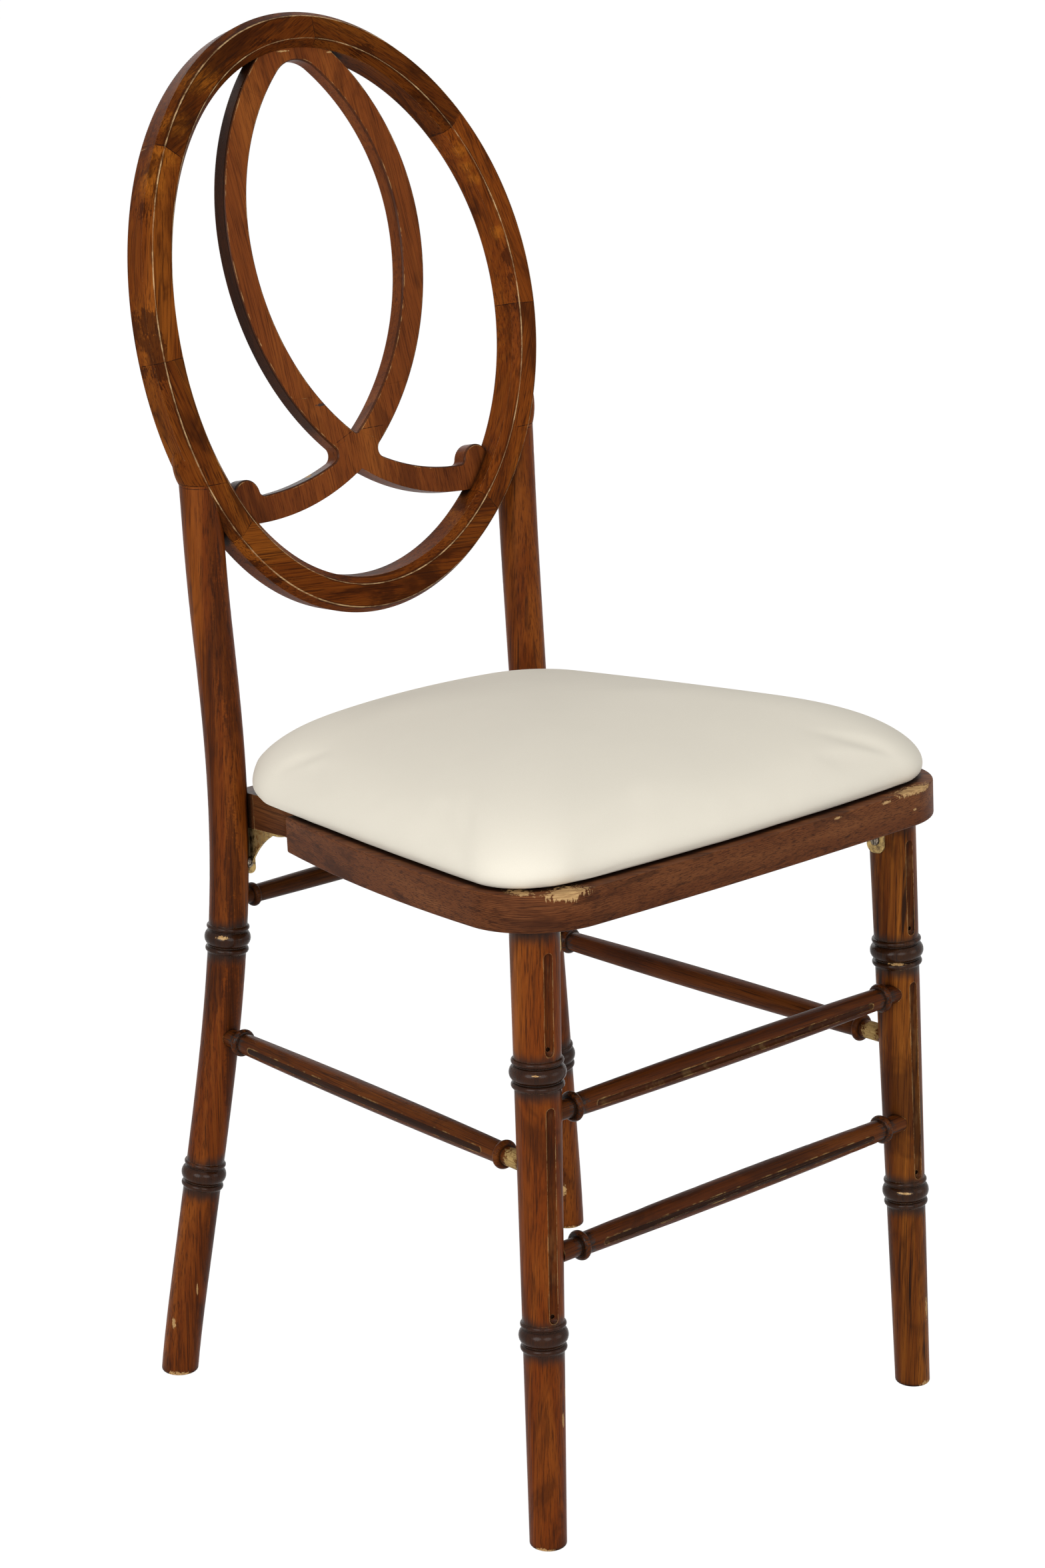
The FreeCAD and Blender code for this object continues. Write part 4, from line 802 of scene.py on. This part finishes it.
panelWood = stainedWood(
    "panelWood", body=(0.26, 0.14, 0.07), bright=(0.36, 0.21, 0.11), deep=(0.15, 0.07, 0.03),
    turn=alongY, seed=11.0, wear=0.2, ringSpacing=0.011, roughness=0.5, streakWeight=0.1)
dress(panelWood, "seat_panel")
boardWood = stainedWood(
    "boardWood", body=(0.52, 0.36, 0.2), bright=(0.62, 0.46, 0.28), deep=(0.36, 0.22, 0.11),
    bare=(0.7, 0.55, 0.36), turn=alongY, seed=12.0, wear=0.2, ringSpacing=0.014, roughness=0.6,
    streakWeight=0.05)
dress(boardWood, "cushion_board")
dowelWood = stainedWood(
    "dowelWood", body=(0.6, 0.42, 0.24), bright=(0.68, 0.52, 0.33), deep=(0.45, 0.3, 0.16), seed=13.0,
    wear=0.1, roughness=0.6, streakWeight=0.05)
dress(dowelWood, "post_dowels")
print("wood:", sum("Wood" in m.name for m in bpy.data.materials), "materials")


# Metal and tape
metalLooks = {
    "dullBrass": {"bright": (0.56, 0.39, 0.15), "dull": (0.2, 0.125, 0.05), "scale": 260.0},
    "screwMetal": {"bright": (0.3, 0.25, 0.19), "dull": (0.07, 0.05, 0.04), "scale": 700.0},
}
tapeLooks = {
    "hookTape": {"pale": (0.09, 0.09, 0.09), "dark": (0.02, 0.02, 0.02), "scale": 900.0},
    "loopTape": {"pale": (0.13, 0.13, 0.13), "dark": (0.05, 0.05, 0.05), "scale": 600.0},
}


def mottledMetal(name):
    look = metalLooks[name]
    material, tree, shader, place = newMaterial(name)
    edges = placeGroup(tree, arrisWear, {
        "Vector": place, "Radius": 0.0006, "Amount": 0.6, "Break Size": 0.006})
    cloud = noise(tree, place, look["scale"], 4.0, 0.65, 0.5)
    speck = noise(tree, place, look["scale"] * 6, 2.0)
    mask = plus(tree, remap(tree, cloud, 0.4, 0.62), remap(tree, speck, 0.62, 0.72, 0.0, 0.5), clamp=True)
    colour = mixColour(tree, mask, (*look["bright"], 1), (*look["dull"], 1))
    fillSockets(tree, shader.inputs, {
        # painted shade: darker in hollows and where the bracket meets other parts
        "Base Color": mixColour(tree, edges["Hollow"], colour, (*tinted(look["dull"], 0.35), 1)),
        "Roughness": remap(tree, cloud, 0.3, 0.7, 0.34, 0.62),
        "Metallic": remap(tree, mask, 0.0, 1.0, 1.0, 0.55),
        "Normal": bumped(tree, speck, 0.4, 0.0002, edges["Normal"])})
    return material


def napTape(name):
    # rows of tiny hooks or loops over a woven backing
    look = tapeLooks[name]
    pale, dark = (*look["pale"], 1), (*look["dark"], 1)
    material, tree, shader, place = newMaterial(name)
    dots = addNode(tree, "ShaderNodeTexVoronoi", None, {"Vector": place, "Scale": look["scale"]})
    dots = dots.outputs["Distance"]
    fuzz = noise(tree, place, look["scale"] * 1.7)
    colour = mixColour(tree, remap(tree, dots, 0.15, 0.55), pale, dark)
    fillSockets(tree, shader.inputs, {
        "Base Color": mixColour(tree, remap(tree, fuzz, 0.55, 0.75, 0.0, 0.5), colour, pale),
        "Roughness": remap(tree, fuzz, 0.3, 0.7, 0.7, 0.95),
        "Normal": bumped(tree, dots, 0.8, 0.0005, invert=True)})
    return material


dress(mottledMetal("dullBrass"), "bracket_rear_left", "bracket_rear_right", "bracket_front_left",
      "bracket_front_right")
dress(mottledMetal("screwMetal"), "bracket_screws")
dress(napTape("hookTape"), "grip_pads_seat")
dress(napTape("loopTape"), "grip_pads_cushion")


# Seat cushion
cushion = {
    "frontY": -0.2145, "rearY": 0.168, "frontRadius": 1.8, "rearRadius": 0.42,
    "sideFront": (0.201, -0.208), "sideRear": (0.146, 0.12), "sideBow": 0.004,
    "frontCorner": 0.045, "rearCorner": 0.084,
    "crown": 0.0655, "belly": 0.008, "tuck": 0.0075,
    "restHeight": 0.0024, "coverThick": 0.0012, "hemReach": 0.034,
    "boardInset": 0.0104, "boardThick": 0.0092,
    "pocketInset": 0.03, "pocketStep": 0.025, "pocketDrop": 0.0002,
    "aroundHalf": 96, "crownRows": 34, "sideRows": 7,
    "seed": 11, "gather": 0.0004, "gatherReach": 0.007, "gatherFrom": 0.0012,
    "sway": 0.0005, "swayShare": 0.8,
    "pressure": 4.0, "stretch": 18, "shear": 8, "bend": 1.2, "steps": 20, "mostMove": 0.0022,
    "cloth": (0.8, 0.75, 0.64), "clothShade": (0.75, 0.69, 0.57), "fade": 0.975,
    "specular": 0.15, "sheen": 0.04, "cloudScale": 9.0, "napScale": 1500.0, "weaveScale": 1900.0,
}


def circleThrough(p, q, r):
    (ax, ay), (bx, by), (cx, cy) = p, q, r
    d = 2 * (ax * (by - cy) + bx * (cy - ay) + cx * (ay - by))
    aa, bb, cc = ax * ax + ay * ay, bx * bx + by * by, cx * cx + cy * cy
    centre = np.array([(aa * (by - cy) + bb * (cy - ay) + cc * (ay - by)) / d,
                       (aa * (cx - bx) + bb * (ax - cx) + cc * (bx - ax)) / d])
    return centre, math.hypot(ax - centre[0], ay - centre[1])


def cornerCentre(c1, r1, c2, r2, toward):
    # where circles of radius r1 about c1 and r2 about c2 cross, nearer to toward
    gap = c2 - c1
    d = math.hypot(*gap)
    along = (r1 * r1 - r2 * r2 + d * d) / (2 * d)
    off = math.sqrt(max(r1 * r1 - along * along, 0.0))
    sides = [c1 + gap * along / d + sign * off * np.array([-gap[1], gap[0]]) / d for sign in (-1, 1)]
    return min(sides, key=lambda p: math.hypot(*(p - np.array(toward))))


def cushionOutline(look, count):
    # half the plan is five arcs that run into one another (front, corner, side, rear
    # corner, rear); a point at length s lies on its arc at centre + radius (cos a, sin a)
    # with a growing evenly along the arc. Returns points and outward directions, all round.
    front, rear = np.array(look["sideFront"]), np.array(look["sideRear"])
    run = rear - front
    size = math.hypot(*run)
    middle = (front + rear) / 2 + look["sideBow"] * np.array([run[1], -run[0]]) / size
    sideC, sideR = circleThrough(tuple(front), tuple(middle), tuple(rear))
    frontC = np.array([0.0, look["frontY"] + look["frontRadius"]])
    rearC = np.array([0.0, look["rearY"] - look["rearRadius"]])
    f, b = look["frontCorner"], look["rearCorner"]
    cornerF = cornerCentre(frontC, look["frontRadius"] - f, sideC, sideR - f, (0.2, look["frontY"]))
    cornerB = cornerCentre(sideC, sideR - b, rearC, look["rearRadius"] - b, (0.2, look["rearY"]))

    def angle(a, b):
        return math.atan2(b[1] - a[1], b[0] - a[0])

    turns = np.array([-math.pi / 2, angle(frontC, cornerF), angle(sideC, cornerF), angle(sideC, cornerB),
                      angle(rearC, cornerB), math.pi / 2])
    centres = np.array([frontC, cornerF, sideC, cornerB, rearC])
    radii = np.array([look["frontRadius"], f, sideR, b, look["rearRadius"]])
    starts = np.concatenate([[0.0], np.cumsum(radii * np.diff(turns))])
    s = np.linspace(0.0, starts[-1], count + 1)
    piece = np.clip(np.searchsorted(starts, s, side="right") - 1, 0, 4)
    a = turns[piece] + (s - starts[piece]) / radii[piece]
    way = np.stack([np.cos(a), np.sin(a)], 1)
    half = centres[piece] + radii[piece, None] * way
    flip = np.array([-1.0, 1.0])
    return np.concatenate([half, half[-2:0:-1] * flip]), np.concatenate([way, way[-2:0:-1] * flip])


def onSeat(points):
    # from the seat frame's own flat plan to where it stands, sloping to the rear
    a = seat["slope"]
    y = points[..., 1] - seat["frontY"]
    z = points[..., 2]
    turned = [points[..., 0], seat["frontY"] + y * math.cos(a) + z * math.sin(a) - seat["middleY"],
              seat["bottomZ"] - y * math.sin(a) + z * math.cos(a)]
    return np.stack(turned, -1)


def ripple(u, rng, waves):
    # a sum of sines round the plan with fixed random phases, from -1 to 1
    phase = rng.uniform(0, 2 * math.pi, len(waves))
    return sum(np.sin(2 * math.pi * w * u + p) for w, p in zip(waves, phase)) / len(waves)


def cushionRows(look):
    # rows from the top pole to the pocket's pole, each (inset, shrink, height, slack):
    # crown: shrink = cos a, height = belly + rise sin a; skirt: inset = tuck (1 - cos b);
    # hem: flat and turned under, then the pocket that the board lies in
    base = seat["height"]
    belly = base + look["belly"]
    rest = base + look["restHeight"]
    foot = rest - look["coverThick"]
    a = np.linspace(math.pi / 2, 0.0, look["crownRows"] + 1)[1:]
    a = math.pi / 2 - (math.pi / 2 - a) ** 0.9 * (math.pi / 2) ** 0.1  # rows closer toward the rim
    crown = np.stack([0 * a, np.cos(a), belly + (base + look["crown"] - belly) * np.sin(a), 1 + 0 * a], 1)
    b = np.linspace(0.0, math.pi / 2, look["sideRows"])[1:]
    fall = belly - (belly - foot) * np.sin(b)
    skirt = np.stack([look["tuck"] * (1 - np.cos(b)), 1 + 0 * b, fall, np.cos(b)], 1)
    h = np.linspace(0.0, 1.0, look["sideRows"])[1:]
    hem = np.stack([look["tuck"] + look["hemReach"] * h, 1 + 0 * h, foot + 0 * h, 0 * h], 1)
    edge, board, pocket = look["tuck"] + look["hemReach"], look["boardInset"], look["pocketInset"]
    low, high = rest - look["pocketDrop"], rest + look["boardThick"]
    inside = [(edge, 1, low, 0), (look["pocketStep"], 1, low, 0), (board, 1, low, 0), (board, 1, high, 0)]
    inside += [(pocket, share, high, 0) for share in (1, 0.7, 0.35, 0.05)]
    return np.concatenate([crown, skirt, hem, np.array(inside)])


def addObject(name, data):
    thing = bpy.data.objects.new(name, data)
    bpy.context.scene.collection.objects.link(thing)
    return thing


def meshFromGrid(name, grid, topPole, lowPole):
    # rows of points joined to a closed skin, with a pole at each end
    rows, around = grid.shape[:2]
    points = np.concatenate([grid.reshape(-1, 3), topPole[None], lowPole[None]])
    row, col = np.meshgrid(np.arange(rows - 1), np.arange(around), indexing="ij")
    nxt = (col + 1) % around
    quads = np.stack([row * around + col, (row + 1) * around + col, (row + 1) * around + nxt,
                      row * around + nxt], -1).reshape(-1, 4)
    ring = np.arange(around)
    last = (rows - 1) * around
    top = np.stack([np.full(around, len(points) - 2), ring, (ring + 1) % around], 1)
    low = np.stack([np.full(around, len(points) - 1), last + (ring + 1) % around, last + ring], 1)
    mesh = bpy.data.meshes.new(name)
    mesh.from_pydata(points.tolist(), [], quads.tolist() + top.tolist() + low.tolist())
    mesh.update()
    mesh.shade_smooth()
    return addObject(name, mesh)


def buildCushion(look):
    # point = middle + shrink (outline - inset outward - middle), lifted to its height;
    # near the hem the cloth is gathered: small ripples in plan and height
    rng = np.random.default_rng(look["seed"])
    outline, outward = cushionOutline(look, look["aroundHalf"])
    rows = cushionRows(look)
    around = len(outline)
    u = np.arange(around) / around
    middle = np.array([0.0, (look["frontY"] + look["rearY"]) / 2])
    gather = ripple(u, rng, (23, 37, 41, 58, 67)) * look["gather"]
    sway = ripple(u, rng, (5, 7, 9, 13)) * look["sway"]
    above = np.clip(rows[:, 2] - (seat["height"] + look["gatherFrom"]), 0, 1)
    fall = np.exp(-above / look["gatherReach"]) * (rows[:, 3] > 0)
    inset = rows[:, 0, None] + fall[:, None] * gather[None]
    plan = outline[None] - outward[None] * inset[..., None]
    plan = middle + (plan - middle) * rows[:, 1, None, None]
    height = rows[:, 2, None] + (fall * look["swayShare"])[:, None] * np.clip(sway, 0, 1)[None]
    grid = np.concatenate([plan, height[..., None]], -1)
    top = np.array([*middle, seat["height"] + look["crown"]])
    low = np.array([*middle, rows[-1, 2]])
    thing = meshFromGrid("seatCushion", onSeat(grid), onSeat(top), onSeat(low))
    loose = np.concatenate([np.repeat(rows[:, 3], around), [1.0, 0.0]])
    return thing, loose


def puffUp(thing, loose, look):
    # cloth under pressure, held at the hem; the move is capped and then kept
    group = thing.vertex_groups.new(name="held")
    for index in np.nonzero(loose < 0.5)[0]:
        group.add([int(index)], 1.0, "REPLACE")
    before = np.empty(len(thing.data.vertices) * 3)
    thing.data.vertices.foreach_get("co", before)
    cloth = thing.modifiers.new("puff", "CLOTH")
    settings = cloth.settings
    settings.vertex_group_mass = "held"
    settings.use_pressure = True
    settings.uniform_pressure_force = look["pressure"]
    settings.tension_stiffness = settings.compression_stiffness = look["stretch"]
    settings.shear_stiffness = look["shear"]
    settings.bending_stiffness = look["bend"]
    settings.effector_weights.gravity = 0.0
    cloth.collision_settings.use_collision = False
    cloth.point_cache.frame_start, cloth.point_cache.frame_end = 1, look["steps"]
    for step in range(look["steps"]):
        bpy.context.scene.frame_set(step + 1)
    seen = thing.evaluated_get(bpy.context.evaluated_depsgraph_get())
    after = np.empty(len(before))
    seen.data.vertices.foreach_get("co", after)
    move = (after - before).reshape(-1, 3)
    size = np.linalg.norm(move, axis=1)
    keep = np.minimum(size, look["mostMove"]) / np.maximum(size, 1e-9) * loose
    thing.modifiers.remove(cloth)
    thing.data.vertices.foreach_set("co", before + (move * keep[:, None]).ravel())
    thing.data.update()
    thing.vertex_groups.remove(group)
    bpy.context.scene.frame_set(1)
    print("cushion: cloth moved up to", round(float(size.max()) * 1000, 1), "mm")


def applyModifiers(thing):
    seen = thing.evaluated_get(bpy.context.evaluated_depsgraph_get())
    old = thing.data
    thing.data = bpy.data.meshes.new_from_object(seen)
    thing.data.name = old.name
    thing.modifiers.clear()
    bpy.data.meshes.remove(old)


def clothMaterial(look):
    # smooth ivory cloth: close nap and faint clouds
    material, tree, shader, place = newMaterial("ivoryCloth")
    cloud = noise(tree, place, look["cloudScale"], 3.0, 0.5)
    nap = noise(tree, place, look["napScale"])
    weave = addNode(tree, "ShaderNodeTexVoronoi", None, {"Vector": place, "Scale": look["weaveScale"]})
    fresh, faded = (*look["cloth"], 1), (*tinted(look["cloth"], look["fade"]), 1)
    colour = mixColour(tree, remap(tree, cloud, 0.35, 0.65), fresh, faded)
    height = plus(tree, times(tree, nap, 0.7), times(tree, weave.outputs["Distance"], 0.3))
    shade = remap(tree, nap, 0.35, 0.65, 0.0, 0.25)
    fillSockets(tree, shader.inputs, {
        "Base Color": mixColour(tree, shade, colour, (*look["clothShade"], 1)),
        "Roughness": remap(tree, nap, 0.3, 0.7, 0.78, 0.9), "Normal": bumped(tree, height, 0.22, 0.0002),
        "Specular IOR Level": look["specular"], "Sheen Weight": look["sheen"], "Sheen Roughness": 0.5})
    return material


seatCushion, looseParts = buildCushion(cushion)
puffUp(seatCushion, looseParts, cushion)
smooth = seatCushion.modifiers.new("smooth", "SUBSURF")
smooth.levels = smooth.render_levels = 1
applyModifiers(seatCushion)
seatCushion.data.shade_smooth()
seatCushion.data.materials.append(clothMaterial(cushion))
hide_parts("cushion_cover", "cushion_foam")
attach(seatCushion, "cushion")
print("cushion:", len(seatCushion.data.polygons), "faces")


# Floor, light and camera
studio = {
    "world": 0.27, "floor": 0.88, "floorWhite": 0.89, "glow": 1.1, "floorHalf": 20,
    "camera": (-1.717, -1.85603, 1.1965), "look": (0.65178, 0.69929, -0.29357), "lens": 89.83,
    "lamps": [  # place, what it faces, width, watts
        ("keyLamp", (-3.9, -1.05, 1.8), (0.0, 0.0, 0.5), 2.6, 87.0),
        ("frontLamp", (-1.7, -3.65, 1.9), (0.0, 0.0, 0.5), 2.4, 55.0),
        ("sideLamp", (2.0, -3.46, 1.5), (0.0, 0.0, 0.5), 2.2, 20.0),
        ("topLamp", (-0.2, -0.1, 3.4), (0.0, 0.0, 0.4), 2.0, 20.0),
        ("rearLamp", (1.3, 3.4, 2.0), (0.0, 0.0, 0.5), 3.0, 34.0),
    ],
}


def whiteForCamera(tree):
    # 1 where the background is seen directly, mirrored or through glass
    path = addNode(tree, "ShaderNodeLightPath").outputs
    seen = calc(tree, "MAXIMUM", path["Is Camera Ray"], path["Is Glossy Ray"])
    return calc(tree, "MAXIMUM", seen, path["Is Transmission Ray"])


def buildFloor():
    mesh = bpy.data.meshes.new("floor")
    far, value = studio["floorHalf"], studio["floor"]
    mesh.from_pydata([(-far, -far, 0), (far, -far, 0), (far, far, 0), (-far, far, 0)], [], [(0, 1, 2, 3)])
    addObject("floor", mesh)
    material = bpy.data.materials.new("paleFloor")
    tree = emptyTree(material)
    matt = addNode(tree, "ShaderNodeBsdfDiffuse", None, {"Color": (value, value, value, 1)})
    white = addNode(tree, "ShaderNodeEmission", None, {"Color": (1, 1, 1, 1), "Strength": studio["glow"]})
    share = times(tree, whiteForCamera(tree), studio["floorWhite"])
    mixed = addNode(tree, "ShaderNodeMixShader", None, {0: share, 1: matt.outputs[0], 2: white.outputs[0]})
    addNode(tree, "ShaderNodeOutputMaterial", None, {"Surface": mixed.outputs[0]})
    mesh.materials.append(material)


def buildWorld():
    world = bpy.data.worlds.new("studio")
    tree = emptyTree(world)
    strength = remap(tree, whiteForCamera(tree), 0.0, 1.0, studio["world"], 1.0)
    air = addNode(tree, "ShaderNodeBackground", None, {"Color": (1, 1, 1, 1), "Strength": strength})
    addNode(tree, "ShaderNodeOutputWorld", None, {"Surface": air.outputs[0]})
    bpy.context.scene.world = world


def aim(thing, spot, way):
    thing.location = spot
    thing.rotation_mode = "QUATERNION"
    thing.rotation_quaternion = Vector(way).to_track_quat("-Z", "Y")


def buildLamps():
    for name, spot, target, size, power in studio["lamps"]:
        light = bpy.data.lights.new(name, "AREA")
        light.shape = "DISK"
        light.size = size
        light.energy = power
        aim(addObject(name, light), spot, Vector(target) - Vector(spot))


def buildCamera():
    data = bpy.data.cameras.new("camera")
    data.sensor_width = 36.0
    data.lens = studio["lens"]
    data.clip_start, data.clip_end = 0.1, 100.0
    bpy.context.scene.camera = addObject("camera", data)
    aim(bpy.context.scene.camera, studio["camera"], studio["look"])


buildFloor()
buildWorld()
buildLamps()
buildCamera()
bpy.context.scene.view_settings.view_transform = "Standard"
print("studio ready")
